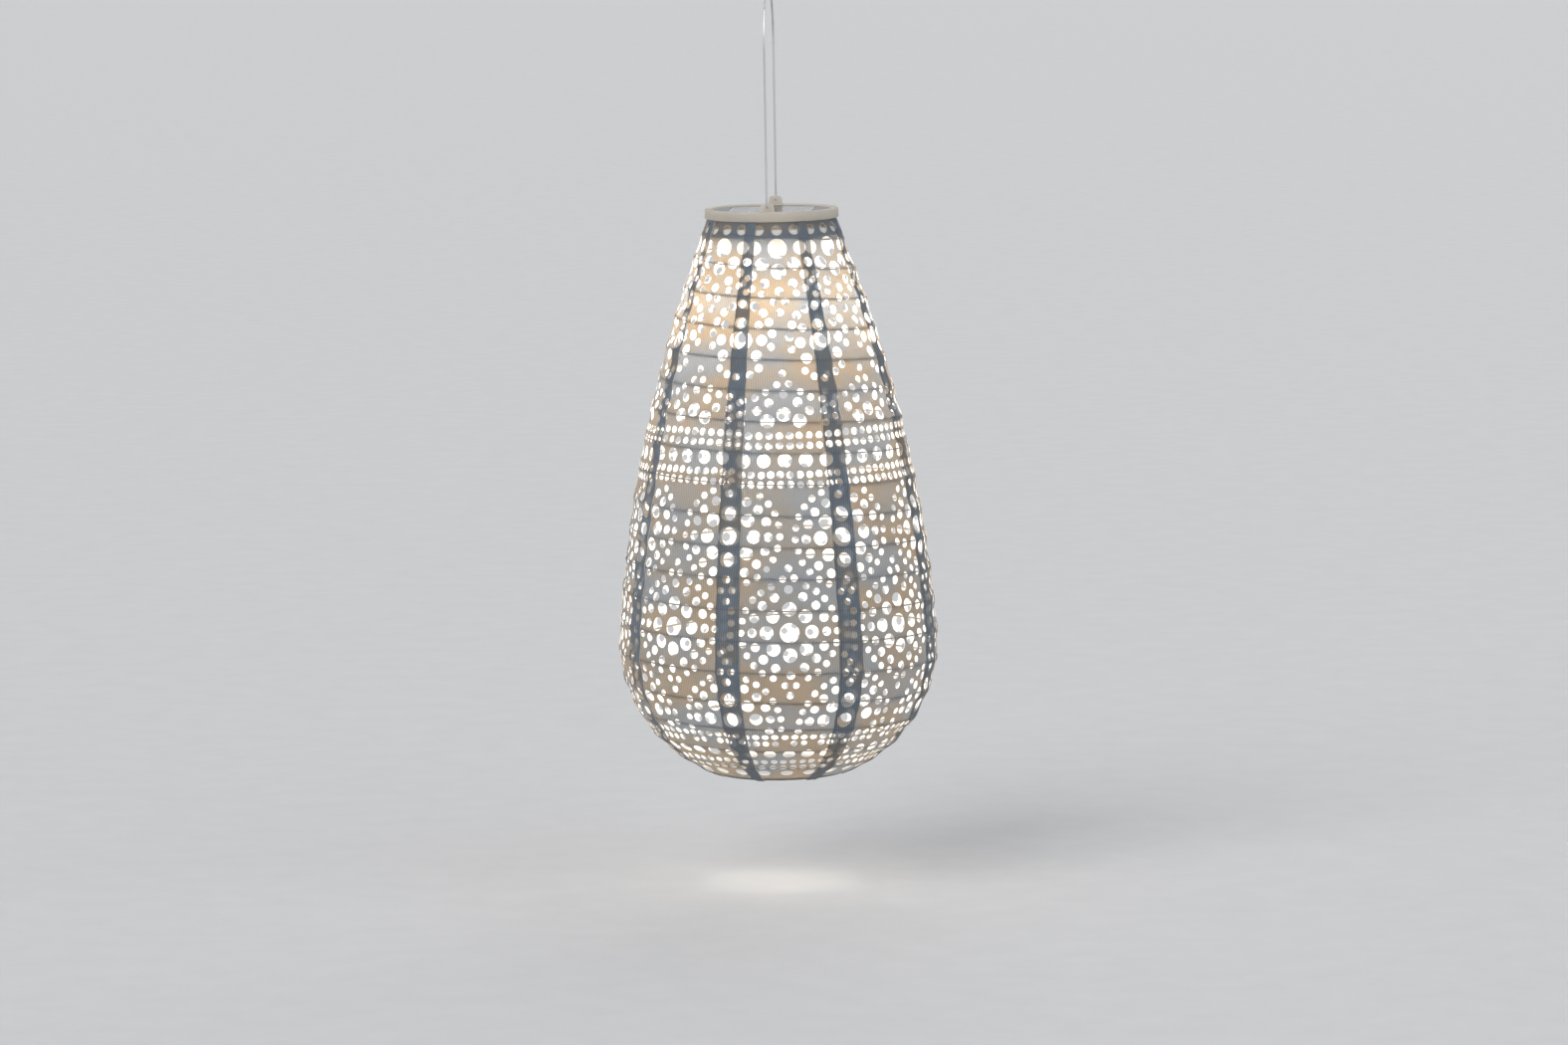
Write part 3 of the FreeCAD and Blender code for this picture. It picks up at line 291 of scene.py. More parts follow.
def cloth_material(name, cool, warm, through, share):
    """Ribbed cloth that lets some light through: fine cords along the shade, a finer weft, and painted shade
    along a crease over each turn of the wire, which is darker and lets less light through. The map "flat" is
    the cloth's own plane, "turns" has the count of the wire's turns and the number of the piece, and "seams"
    is 1 on the glued flap, which lets less light through and is painted cooler as shade of the double layer."""
    m = Nodes(name)
    flat = m.add("UVMap")
    flat.uv_map = "flat"
    turns = m.add("UVMap")
    turns.uv_map = "turns"
    seams = m.add("UVMap")
    seams.uv_map = "seams"
    flap = m.add("SeparateXYZ", Vector=seams.outputs["UV"]).outputs["X"]
    axes = m.add("SeparateXYZ", Vector=flat.outputs["UV"])
    count, piece, _ = m.add("SeparateXYZ", Vector=turns.outputs["UV"]).outputs
    place = m.add("CombineXYZ", X=axes.outputs["X"], Y=axes.outputs["Y"], Z=piece)
    stretched = m.add("Mapping", Vector=place, Scale=PATCH_STRETCH)
    lint = m.add("TexNoise", Vector=place, Scale=LINT, Detail=4.0).outputs["Fac"]
    cloudy = m.add("TexNoise", Vector=place, Scale=CLOUDS, Detail=3.0).outputs["Fac"]
    patchy = m.add("TexNoise", Vector=stretched, Scale=PATCHES, Detail=2.0).outputs["Fac"]
    wander = m.math("MULTIPLY", cloudy, CORD_WANDER)
    waves = 2 * math.pi * FLAT_SCALE
    cords = m.math("SINE", m.math("MULTIPLY_ADD", axes.outputs["X"], waves / CORD_PITCH, wander))
    weft = m.math("SINE", m.math("MULTIPLY", axes.outputs["Y"], waves / WEFT_PITCH))
    near = m.math("ABSOLUTE", m.math("SUBTRACT", m.math("FRACT", m.math("ADD", count, 0.5)), 0.5))
    crease_shade = m.math("MAXIMUM", m.math("MULTIPLY_ADD", near, -1 / CREASE_SHADE_WIDTH, 1.0), 0.0)
    height = m.math("MULTIPLY_ADD", weft, 0.22, m.math("MULTIPLY", cords, 0.5))
    height = m.math("MULTIPLY_ADD", lint, 0.5, height)
    tone = m.math("MULTIPLY_ADD", cords, 0.34, m.math("MULTIPLY_ADD", cloudy, 0.5, 0.1))
    tone = m.math("MULTIPLY_ADD", lint, 0.35, tone)
    # painted shade: the cloth is darker in a band along each turn of the wire, where it creases
    tone = m.math("MULTIPLY_ADD", crease_shade, -0.18, tone)
    ramps = [m.ramp(tone, [(0.15, low), (0.85, high)]) for low, high in (cool, warm)]
    warmth = m.ramp(patchy, [(0.38, (0, 0, 0)), (0.62, (1, 1, 1))])
    # painted shade: the flap loses its warm patches and takes the cooler colour, as the double layer passes
    # less lamp light; the glue also dims its translucency
    flap_glue_and_shade = m.math("MULTIPLY", flap, m.ramp(cloudy, [(0.42, (0.15, 0.15, 0.15)), (0.58, (1, 1, 1))]))
    warmth = m.math("MULTIPLY", warmth, m.math("SUBTRACT", 1.0, flap_glue_and_shade))
    m.set(Base_Color=m.blend(warmth, *ramps), Roughness=0.86, Specular_IOR_Level=0.25)
    m.set(Sheen_Weight=0.15, Sheen_Roughness=0.5)
    m.bump(height, 0.7, WEAVE_DEPTH)
    glow = m.add("BsdfTranslucent", Color=m.blend(warmth, *[(*colour, 1.0) for colour in through]))
    cords_dim = m.math("MULTIPLY_ADD", cords, 0.1 * share, share)
    # less light passes along the crease, a painted shadow of the wire
    passing = m.math("MULTIPLY_ADD", crease_shade, -0.22 * share, cords_dim)
    passing = m.math("MULTIPLY", passing, m.math("MULTIPLY_ADD", flap_glue_and_shade, -GLUE_DIM, 1.0))
    mixed = m.add("MixShader", Fac=passing)
    m.put(mixed.inputs[1], m.shader.outputs[0])
    m.put(mixed.inputs[2], glow.outputs[0])
    m.put(m.output.inputs["Surface"], mixed.outputs[0])
    return m


RESIN_IOR = 1.3


def glass(name, colour, roughness):
    """Clear cast resin with a fine grain in its gloss."""
    m = Nodes(name)
    fine = m.grain(1400.0, 2.0)
    m.set(Base_Color=(*colour, 1.0), IOR=RESIN_IOR, Transmission_Weight=1.0)
    m.set(Roughness=m.math("MULTIPLY_ADD", fine, 0.06, roughness))
    return m


FINGER_PITCH = 0.0023
FINGER_SHARE = 0.07
FINGER_COLOUR = (0.22, 0.22, 0.24, 1.0)


def cell_material():
    """Blue-black silicon with thin silver fingers across each strip and a crystal mottle."""
    m = Nodes("silicon_cells")
    place = m.add("TexCoord").outputs["Object"]
    axes = m.add("SeparateXYZ", Vector=place)
    mottle = m.add("TexVoronoi", Vector=place, Scale=420.0).outputs["Distance"]
    base = m.ramp(mottle, [(0.1, (0.004, 0.005, 0.012)), (0.9, (0.012, 0.014, 0.03))])
    across = m.math("FRACT", m.math("MULTIPLY", axes.outputs["Y"], 1 / FINGER_PITCH))
    finger = m.math("LESS_THAN", across, FINGER_SHARE)
    m.set(Base_Color=m.blend(finger, base, FINGER_COLOUR), Roughness=0.22, Specular_IOR_Level=0.5)
    m.bump(mottle, 0.1, 0.00002)
    return m


def lamp_material():
    """The lamp's clear epoxy, alight."""
    m = plastic("lit_epoxy", (1.0, 0.93, 0.8), 0.2)
    m.set(Emission_Color=(1.0, 0.86, 0.62, 1.0), Emission_Strength=5.0)
    return m


# painted shade: the outside of the pale cloth is darkened and blued as it looks in dim blue evening light;
# the lining keeps the cloth's own pale colour
CLOTH_OUTSIDE_SHADED = cloth_material(
    "ribbed_cloth_shaded", [(0.08, 0.11, 0.14), (0.17, 0.21, 0.25)], [(0.095, 0.11, 0.12), (0.19, 0.205, 0.21)],
    [(0.81, 0.80, 0.80), (0.93, 0.79, 0.63)], 0.33,
)
CLOTH_INSIDE = cloth_material(
    "cloth_lining", [(0.72, 0.73, 0.74), (0.88, 0.88, 0.88)], [(0.75, 0.73, 0.69), (0.9, 0.88, 0.84)],
    [(0.82, 0.83, 0.84), (0.92, 0.82, 0.68)], 0.26,
)
COIL_STEEL = metal("spring_wire", (0.32, 0.31, 0.30), 0.4)

NODE_MATERIALS = {
    "hanging_bail": metal("bail_wire", (0.62, 0.62, 0.62), 0.3, (1.0, 1.0, 0.02)),
    "top_collar": milky("collar_plastic", (0.70, 0.66, 0.59), 0.42, 0.6),
    "top_hoop": metal("hoop_wire", (0.5, 0.5, 0.5), 0.35),
    "bottom_hoop": metal("hoop_wire_low", (0.5, 0.5, 0.5), 0.35),
    "module_cover": plastic("cover_plastic", (0.05, 0.05, 0.052), 0.38),
    "solar_backing": plastic("backing_board", (0.012, 0.012, 0.014), 0.5),
    "solar_cells": cell_material(),
    "panel_glaze": glass("clear_resin", (0.97, 0.98, 1.0), 0.1),
    "module_base": plastic("cup_plastic", (0.64, 0.63, 0.61), 0.45),
    "battery_door": plastic("door_plastic", (0.58, 0.57, 0.55), 0.45),
    "seal_ring": plastic("seal_rubber", (0.03, 0.03, 0.03), 0.7),
    "housing_screws": metal("screw_steel", (0.66, 0.65, 0.62), 0.3),
    "board_screws": metal("board_screw_steel", (0.66, 0.65, 0.62), 0.3),
    "circuit_board": plastic("board_mask", (0.03, 0.16, 0.07), 0.35),
    "driver_chip": plastic("chip_epoxy", (0.02, 0.02, 0.022), 0.5),
    "choke_coil": plastic("choke_sleeve", (0.05, 0.05, 0.05), 0.55),
    "led_lamp": lamp_material(),
    "led_bezel": plastic("bezel_plastic", (0.62, 0.62, 0.60), 0.3),
    "battery_cell": plastic("cell_sleeve", (0.10, 0.30, 0.14), 0.3),
    "positive_plate": metal("contact_nickel", (0.74, 0.72, 0.68), 0.22),
    "negative_plate": metal("contact_nickel_low", (0.74, 0.72, 0.68), 0.22),
    "negative_spring": metal("spring_nickel", (0.74, 0.72, 0.68), 0.25),
    "switch_body": plastic("switch_case", (0.04, 0.04, 0.04), 0.5),
    "switch_knob": plastic("switch_thumb", (0.03, 0.03, 0.03), 0.55),
    "panel_leads": plastic("panel_lead", (0.36, 0.03, 0.03), 0.5),
    "battery_leads": plastic("battery_lead", (0.36, 0.03, 0.03), 0.5),
}
for node, nodes in NODE_MATERIALS.items():
    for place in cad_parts[node].material_slots:
        place.link = "OBJECT"
        place.material = nodes.material


# the punched pattern of one gore, as (angle from the gore's middle, length down the shade, diameter)

holes = []
# how far a hole keeps from the gore's edges, and how far it may be drawn in from its place to do so
EDGE_MARGIN = 0.9
EDGE_SLIDE = 2.6
TOP_MARGIN = 1.2
MOUTH_MARGIN = 3.5
HOLE_GAP = 0.9
# how unevenly the holes were punched: by place in millimetres and by size as a share
HAND_SHIFT = 0.2
HAND_GROWTH = 0.05
hand = np.random.default_rng(11)


def punch(angle, along, diameter):
    """Adds a hole if it is clear of the others, drawn in a little from the gore's edge where it must be."""
    radius = float(shade(along)[0])
    limit = HALF_GORE - (diameter / 2 + EDGE_MARGIN) / radius
    if (abs(angle) - limit) * radius > EDGE_SLIDE:
        return
    angle = max(-limit, min(limit, angle))
    if along - diameter / 2 < TOP_MARGIN or along + diameter / 2 > SHADE_LENGTH - MOUTH_MARGIN:
        return
    for other, place, size in holes:
        away = math.hypot((angle - other) * radius, along - place)
        if away < (diameter + size) / 2 + HOLE_GAP:
            return
    across, down, growth = hand.uniform(-1, 1, 3)
    place = (angle + HAND_SHIFT * across / radius, along + HAND_SHIFT * down)
    holes.append((*place, diameter * (1 + HAND_GROWTH * growth)))


def punch_ring(angle, along, radius, diameter, degrees, top=0.0, bottom=SHADE_LENGTH):
    """Holes on a circle round a place on the cloth, between two levels."""
    for degree in degrees:
        turn = math.radians(degree)
        place = along - radius * math.sin(turn)
        if top < place < bottom:
            punch(angle + radius * math.cos(turn) / float(shade(place)[0]), place, diameter)


def punch_row(along, diameter, pitch, offset):
    """Evenly spaced holes across the gore, a whole number of them to each gore's share of the round."""
    step = GORE_STEP / round(GORE_STEP * float(shade(along)[0]) / pitch)
    count = int(HALF_GORE / step) + 1
    for i in range(-count, count + 1):
        punch((i + offset) * step, along, diameter)


EIGHTHS = [45 * i for i in range(8)]
SIXTEENTHS = [22.5 * i for i in range(16) if i not in (4, 12)]
OUTER_STEP = 13.8
FAN = [0.0] + [sign * OUTER_STEP * i for sign in (1, -1) for i in range(1, 6)]
OUTER = [side + turn for side in (0, 180) for turn in FAN]
INNER_RING = 12.5
INNER_HOLE = 7.6
INNER_HOLE_UPRIGHT = 8.2
MIDDLE_RING = 20.6
MIDDLE_HOLE = 5.1
MIDDLE_RING_UPRIGHT = 23.3
MIDDLE_HOLE_UPRIGHT = 4.8
OUTER_RING = 26.6
OUTER_HOLE = 3.8
TAIL_PAIR = 29.4
TAIL_SPREAD = 6.2
TAIL_TIP = 35.0
TAIL_HOLE = 4.0
UPRIGHT = (90, 270)


def punch_rosette(angle, along, core, scale=1.0, tails=(), top=0.0, bottom=SHADE_LENGTH):
    """A ring of eight, one of sixteen and an outer ring of small holes round a large one, with tails."""
    if along < bottom:
        punch(angle, along, core)
    limits = {"top": top, "bottom": bottom}
    punch_ring(angle, along, INNER_RING * scale, INNER_HOLE_UPRIGHT * scale, UPRIGHT, **limits)
    punch_ring(angle, along, INNER_RING * scale, INNER_HOLE * scale, EIGHTHS, **limits)
    punch_ring(angle, along, MIDDLE_RING * scale, MIDDLE_HOLE * scale, SIXTEENTHS, **limits)
    punch_ring(angle, along, MIDDLE_RING_UPRIGHT * scale, MIDDLE_HOLE_UPRIGHT * scale, UPRIGHT, **limits)
    punch_ring(angle, along, OUTER_RING * scale, OUTER_HOLE, OUTER, **limits)
    for way in tails:
        pair = [way - TAIL_SPREAD, way + TAIL_SPREAD]
        punch_ring(angle, along, TAIL_PAIR * scale, TAIL_HOLE, pair, **limits)
        punch_ring(angle, along, TAIL_TIP * scale, TAIL_HOLE, [way], **limits)


BUD_WIDE = 16.8
BUD_HIGH = 20.0


def punch_bud(angle, along):
    """A smaller rosette, drawn out along the shade."""
    punch(angle, along, 10.2)
    punch_ring(angle, along, 9.6, 8.0, (270,))
    punch_ring(angle, along, 9.2, 6.6, (90,))
    punch_ring(angle, along, 11.0, 6.0, (0, 180))
    punch_ring(angle, along, 12.4, 6.0, (-43, 223))
    punch_ring(angle, along, 12.4, 4.8, (43, 137))
    for degree in range(0, 360, 20):
        turn = math.radians(degree + 10)
        wide, high = BUD_WIDE * math.cos(turn), BUD_HIGH * math.sin(turn)
        way = math.degrees(math.atan2(high, wide))
        punch_ring(angle, along, math.hypot(wide, high), 4.7 if math.sin(turn) > 0 else 4.2, (way,))
    punch_ring(angle, along, 25.2, 4.6, UPRIGHT)


EDGE_STEP = 6.6
EDGE_COLUMN = 3.1
EDGE_HOLE = 4.0


def punch_edge(angle, side, first, last):
    """Two staggered columns of small holes along a seam, out of step with those of the other layer."""
    for i in range(int((last - first) / EDGE_STEP) + 1):
        along = first + EDGE_STEP * (i + 0.25 * side)
        radius = float(shade(along)[0])
        for column in (-1, 1):
            punch(angle + column * EDGE_COLUMN / radius, along + column * EDGE_STEP / 4, EDGE_HOLE)


# how far the two layers of a seam are out of step, across and along
SEAM_SLIP = 0.012
SEAM_DROP = 0.9
# places of the rows and groups, as lengths down the shade
TOP_ROW = 4.5
NECK_ROSETTE = 14.6
SEAM_BUD = 66.0
CROWN_ROSETTE = 118.5
BAND_ROW = 131.1
BAND_SMALL_ROWS = (117.5, 123.0, 138.7, 144.1)
BAND_TOP = 113.6
BAND_BOTTOM = 147.0
SEAM_ROSETTE = 173.0
BELLY_ROSETTE = 224.0
FOOT_ROSETTE = 274.5
FOOT_SCALE = 0.97
FOOT_TOP = 283.0
FOOT_ROW = 299.8
FOOT_SMALL_ROWS = (286.3, 291.2, 308.2, 313.4)
MOUTH_ROW = 322.6
SEAM_RUNS = ((24.0, 42.0), (98.0, 114.0), (204.0, 246.0))


def punch_gore():
    """The whole pattern: first the rows and groups that keep their place, then what fits between."""
    for along in BAND_SMALL_ROWS:
        punch_row(along, 4.1, 5.4, 0.5)
    punch_row(BAND_ROW, 7.7, 11.2, 0.0)
    for along in FOOT_SMALL_ROWS:
        punch_row(along, 3.9, 5.35, 0.5)
    punch_row(FOOT_ROW, 7.2, 11.3, 0.0)
    punch_row(MOUTH_ROW, 7.0, 11.3, 0.0)
    punch_row(TOP_ROW, 5.9, 8.6, 0.0)
    punch_rosette(0.0, BELLY_ROSETTE, 10.8, tails=UPRIGHT)
    punch_rosette(0.0, NECK_ROSETTE, 10.8, tails=(270,))
    for side in (-1, 1):
        seam = side * (GORE_STEP / 2 - SEAM_SLIP)
        drop = side * SEAM_DROP
        punch(seam, NECK_ROSETTE + drop, 9.4)
        punch_rosette(seam, SEAM_ROSETTE + drop, 10.4, tails=UPRIGHT, top=BAND_BOTTOM)
        punch_rosette(seam, FOOT_ROSETTE + drop, 9.0, FOOT_SCALE, tails=(90,), bottom=FOOT_TOP)
        punch_bud(seam, SEAM_BUD + drop)
        for first, last in SEAM_RUNS:
            punch_edge(seam, side, first, last)
    punch_rosette(0.0, CROWN_ROSETTE, 8.4, tails=(90,), bottom=BAND_TOP)


punch_gore()


def disc_points(angle, along, diameter):
    """The rim of a hole, round on the cloth."""
    count = 20 if diameter > 8 else 16 if diameter > 5.5 else 12
    turn = np.arange(count) * 2 * math.pi / count
    down = along + diameter / 2 * np.sin(turn)
    return angle + diameter / 2 * np.cos(turn) / shade(down)[0], down


# one girth for the flat layout, the steps of its edges and its grid, and what the grid keeps clear
FLAT_RADIUS = 80.0
STEPS_ACROSS = 30
STEPS_DOWN = 140
GRID_PITCH = 3.0
GRID_FROM_HOLE = 0.7
GRID_FROM_EDGE = 1.0
# marks of the points that lie on the outline and in the grid; a hole's points have the hole's number
OUTLINE = -1
GRID = -2


def gore_sheet():
    """One gore laid out flat: its points as angle and length, its triangles, and its open edges."""
    angles, lengths, owner, edges = [], [], [], []

    def loop(around, down, mark):
        first, count = len(angles), len(around)
        angles.extend(around)
        lengths.extend(down)
        owner.extend([mark] * count)
        edges.extend((first + i, first + (i + 1) % count) for i in range(count))

    across = np.linspace(-HALF_GORE, HALF_GORE, STEPS_ACROSS + 1)
    down = np.linspace(0, SHADE_LENGTH, STEPS_DOWN + 1)
    right = np.full(STEPS_DOWN, HALF_GORE)
    top = np.zeros(STEPS_ACROSS)
    bottom = np.full(STEPS_ACROSS, SHADE_LENGTH)
    loop(
        np.concatenate([across[:-1], right, across[:0:-1], -right]),
        np.concatenate([top, down[:-1], bottom, down[:0:-1]]),
        OUTLINE,
    )
    for i, hole in enumerate(holes):
        loop(*disc_points(*hole), i)
    known = np.array(holes)
    lap = HALF_GORE - LAP_ANGLE
    for row, along in enumerate(down[1:-1]):
        radius = float(shade(along)[0])
        count = max(8, round(2 * HALF_GORE * radius / GRID_PITCH))
        inner = np.linspace(-HALF_GORE, HALF_GORE, count + 1)[1:-1]
        inner = inner + (row % 2 - 0.5) * HALF_GORE / count
        inner = np.concatenate([inner, [lap, lap + JOGGLE_ANGLE]])
        away = np.hypot((inner[:, None] - known[None, :, 0]) * radius, along - known[None, :, 1])
        clear = (away > known[None, :, 2] / 2 + GRID_FROM_HOLE).all(axis=1)
        clear &= (HALF_GORE - np.abs(inner)) * radius > GRID_FROM_EDGE
        angles.extend(inner[clear])
        lengths.extend(np.full(clear.sum(), along))
        owner.extend([GRID] * int(clear.sum()))
    points = [Vector((a * FLAT_RADIUS, l)) for a, l in zip(angles, lengths)]
    made, _, faces, origin, _, _ = delaunay_2d_cdt(points, edges, [], 1, 1e-6)
    angle = np.array([p[0] / FLAT_RADIUS for p in made])
    along = np.array([p[1] for p in made])
    mark = np.array([owner[o[0]] if o else GRID for o in origin])
    corners = np.array(faces)
    marks = mark[corners]
    punched = (marks[:, 0] >= 0) & (marks[:, 0] == marks[:, 1]) & (marks[:, 1] == marks[:, 2])
    corners = corners[~punched]
    used, corners = np.unique(corners, return_inverse=True)
    return angle[used], along[used], corners.reshape(-1, 3)


def open_edges(corners):
    """The edges that one triangle alone uses, each as that triangle runs it."""
    sides = np.concatenate([corners[:, [0, 1]], corners[:, [1, 2]], corners[:, [2, 0]]])
    _, first, uses = np.unique(np.sort(sides, axis=1), axis=0, return_index=True, return_counts=True)
    return sides[first[uses == 1]]


flat_angle, flat_along, flat_corners = gore_sheet()
flat_edges = open_edges(flat_corners)
flat_radius = shade(flat_along)[0]
flat_points = np.stack([flat_angle * flat_radius, flat_along], axis=1)


# how far each gore was sewn up or down from its place
SLIP = 1.1
SLIP_FROM_END = 10.0
SLIP_FADE = 30.0
draw = np.random.default_rng(7)
slips = draw.uniform(-SLIP, SLIP, GORES)
# the curl of a lap's free edge, and how far the sheet's faces lie inside its thickness
CURL_ANGLE = 0.035
CURL_LIFT = 0.12
CURL_WAVE = 0.23
CURL_STEP = 1.7
FACE_INSET = 0.03


def make_gore(index):
    """A gore on the coil: its far edge is lapped outside the next gore."""
    middle = SEAM_ANGLE + index * GORE_STEP - HALF_GORE
    slip = slips[index] * rise((flat_along - SLIP_FROM_END) / SLIP_FADE)
    slip = slip * rise((SHADE_LENGTH - SLIP_FROM_END - flat_along) / SLIP_FADE)
    along = flat_along + slip
    around = middle + flat_angle
    lap = rise((flat_angle - HALF_GORE + LAP_ANGLE) / JOGGLE_ANGLE)
    lift = lap * (CLOTH + LAP_GAP) - sag(along, around) - CLOTH / 2
    edge = rise((flat_angle - HALF_GORE + CURL_ANGLE) / CURL_ANGLE)
    lift = lift + edge * CURL_LIFT * (1 + np.sin(along * CURL_WAVE + CURL_STEP * index))
    half = CLOTH / 2 - FACE_INSET
    layers = []
    for side in (half, -half):
        radius, height, _ = shade(along, lift + side)
        layers.append(turned(radius, height, around))
    count = len(flat_angle)
    outside = [tuple(c) for c in flat_corners[:, ::-1]]
    inside = [tuple(c) for c in flat_corners + count]
    rims = [(b, a, a + count, b + count) for a, b in flat_edges[:, ::-1]]
    name = f"punched_gore_{index + 1}"
    obj = new_piece(name, np.concatenate(layers), outside + inside + rims, "collar")
    mesh = obj.data
    mesh.materials.append(CLOTH_OUTSIDE_SHADED.material)
    mesh.materials.append(CLOTH_INSIDE.material)
    material = np.zeros(len(mesh.polygons), np.int32)
    material[len(outside):] = 1
    mesh.polygons.foreach_set("material_index", material)
    add_map(obj, "flat", np.tile(flat_points / FLAT_SCALE, (2, 1)))
    counted = coil_turns(along, around) + MAP_START
    add_map(obj, "turns", np.tile(np.stack([counted, np.full(count, index)], axis=1), (2, 1)))
    add_map(obj, "seams", np.tile(np.stack([lap, np.zeros(count)], axis=1), (2, 1)))
    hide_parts(f"gore_panel_{index + 1}")
    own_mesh(obj)
    return obj


def tube(points, radius, sides, closed):
    """A round tube through points, as vertices and faces."""
    points = np.asarray(points, float)
    if closed:
        along = np.roll(points, -1, axis=0) - np.roll(points, 1, axis=0)
    else:
        along = np.gradient(points, axis=0)
    along /= np.linalg.norm(along, axis=1)[:, None]
    out = points * (1, 1, 0)
    out -= (out * along).sum(axis=1)[:, None] * along
    out /= np.linalg.norm(out, axis=1)[:, None]
    up = np.cross(along, out)
    turn = np.arange(sides) * 2 * math.pi / sides
    ring = np.cos(turn)[None, :, None] * out[:, None] + np.sin(turn)[None, :, None] * up[:, None]
    vertices = (points[:, None] + radius * ring).reshape(-1, 3)
    count = len(points)
    faces = []
    for i in range(count if closed else count - 1):
        j = (i + 1) % count
        for k in range(sides):
            n = (k + 1) % sides
            faces.append((i * sides + k, j * sides + k, j * sides + n, i * sides + n))
    if not closed:
        faces.append(tuple(range(sides)))
        faces.append(tuple(range((count - 1) * sides + sides - 1, (count - 1) * sides - 1, -1)))
    return vertices, faces


STEPS_A_TURN = 96


def make_coil():
    """The one spring wire that the cloth is stretched over."""
    turn = np.linspace(0, RIB_TURNS, RIB_TURNS * STEPS_A_TURN + 1)
    radius, height, _ = shade(RIB_START + RIB_PITCH * turn, -RIB_INSET)
    vertices, faces = tube(turned(radius, height, RIB_FIRST + 2 * math.pi * turn), RIB_WIRE * MM, 8, False)
    obj = new_piece("spring_coil", vertices, faces, "collar")
    obj.data.materials.append(COIL_STEEL.material)
    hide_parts("rib_coil")
    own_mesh(obj)


# a hem's section: its turn round the wire, its two sewn edges, their start and reach, and half its thickness
HEM_TURN = 1.23
HEM_OUTER = 1.27
HEM_INNER = 0.93
HEM_START = 2.0
HEM_REACH = 4.4
HEM_HALF = 0.13
HEM_STEPS = 240
HEM_MAP_STEP = 0.7


def make_hem(name, node, body, along, way):
    """A strip of cloth folded round a hoop, its two edges sewn flat to the inside of the gores."""
    inset = CLOTH + HEM_FIT + HEM_RADIUS
    radius, height, slope = (float(v) for v in shade(along))
    out = np.array([math.cos(slope), math.sin(slope)])
    down = np.array([math.sin(slope), -math.cos(slope)]) * way
    centre = np.array([radius, height]) - inset * out
    path = [centre + out * HEM_OUTER + down * far for far in (HEM_REACH, HEM_START)]
    for degree in range(90, 361, 18):
        turn = math.radians(degree)
        path.append(centre + HEM_TURN * (math.sin(turn) * out + math.cos(turn) * down))
    path += [centre + out * HEM_INNER + down * far for far in (HEM_START, HEM_REACH)]
    path = np.array(path)
    run = np.gradient(path, axis=0)
    run /= np.linalg.norm(run, axis=1)[:, None]
    side = np.stack([-run[:, 1], run[:, 0]], axis=1)
    section = np.concatenate([path + HEM_HALF * side, (path - HEM_HALF * side)[::-1]])
    around = np.arange(HEM_STEPS) * 2 * math.pi / HEM_STEPS
    pucker = 0.05 * np.sin(around * 60) + 0.04 * np.sin(around * 23 + 1)
    wide = section[None, :, 0] + pucker[:, None] * (section[None, :, 0] < centre[0])
    points = turned(wide, np.broadcast_to(section[None, :, 1], wide.shape), around[:, None]).reshape(-1, 3)
    width = len(section)
    faces = []
    for i in range(HEM_STEPS):
        j = (i + 1) % HEM_STEPS
        for k in range(width):
            n = (k + 1) % width
            faces.append((i * width + k, j * width + k, j * width + n, i * width + n))
    obj = new_piece(name, points, faces, body)
    obj.data.materials.append(CLOTH_INSIDE.material)
    across, down = np.meshgrid(around * centre[0], np.arange(width) * HEM_MAP_STEP, indexing="ij")
    add_map(obj, "flat", np.stack([across.ravel(), down.ravel()], axis=1) / FLAT_SCALE)
    add_map(obj, "turns", np.full((HEM_STEPS * width, 2), 0.5))
    add_map(obj, "seams", np.zeros((HEM_STEPS * width, 2)))
    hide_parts(node)


make_coil()
gores = [make_gore(index) for index in range(GORES)]
make_hem("neck_hem", "top_hem", "collar", HOOP_DROP, 1)
make_hem("mouth_hem", "bottom_hem", "mouth", SHADE_LENGTH - HEM_RADIUS, -1)


# studio: floor, soft light, the lamp's own light and the camera

FLOOR_DROP = 62.0
FLOOR_HALF = 40.0
SKY_SEEN = 0.8
SKY_LIGHT = 0.5


def pale_to_eye(tree, strength, level):
    """A strength that is higher for what the camera and the reflections see."""
    path = tree.nodes.new("ShaderNodeLightPath")
    seen = tree.nodes.new("ShaderNodeMath")
    seen.operation = "MAXIMUM"
    tree.links.new(path.outputs["Is Camera Ray"], seen.inputs[0])
    tree.links.new(path.outputs["Is Glossy Ray"], seen.inputs[1])
    more = tree.nodes.new("ShaderNodeMath")
    more.operation = "MAXIMUM"
    tree.links.new(seen.outputs[0], more.inputs[0])
    tree.links.new(path.outputs["Is Transmission Ray"], more.inputs[1])
    amount = tree.nodes.new("ShaderNodeMapRange")
    amount.inputs["To Min"].default_value = level
    amount.inputs["To Max"].default_value = strength
    tree.links.new(more.outputs[0], amount.inputs["Value"])
    return amount.outputs[0]


scene = bpy.context.scene
scene.view_settings.view_transform = "Standard"
world = bpy.data.worlds.new("studio")
world.use_nodes = True
scene.world = world
sky = world.node_tree.nodes["Background"]
sky.inputs["Color"].default_value = (0.93, 0.95, 1.0, 1.0)
world.node_tree.links.new(pale_to_eye(world.node_tree, SKY_SEEN, SKY_LIGHT), sky.inputs["Strength"])

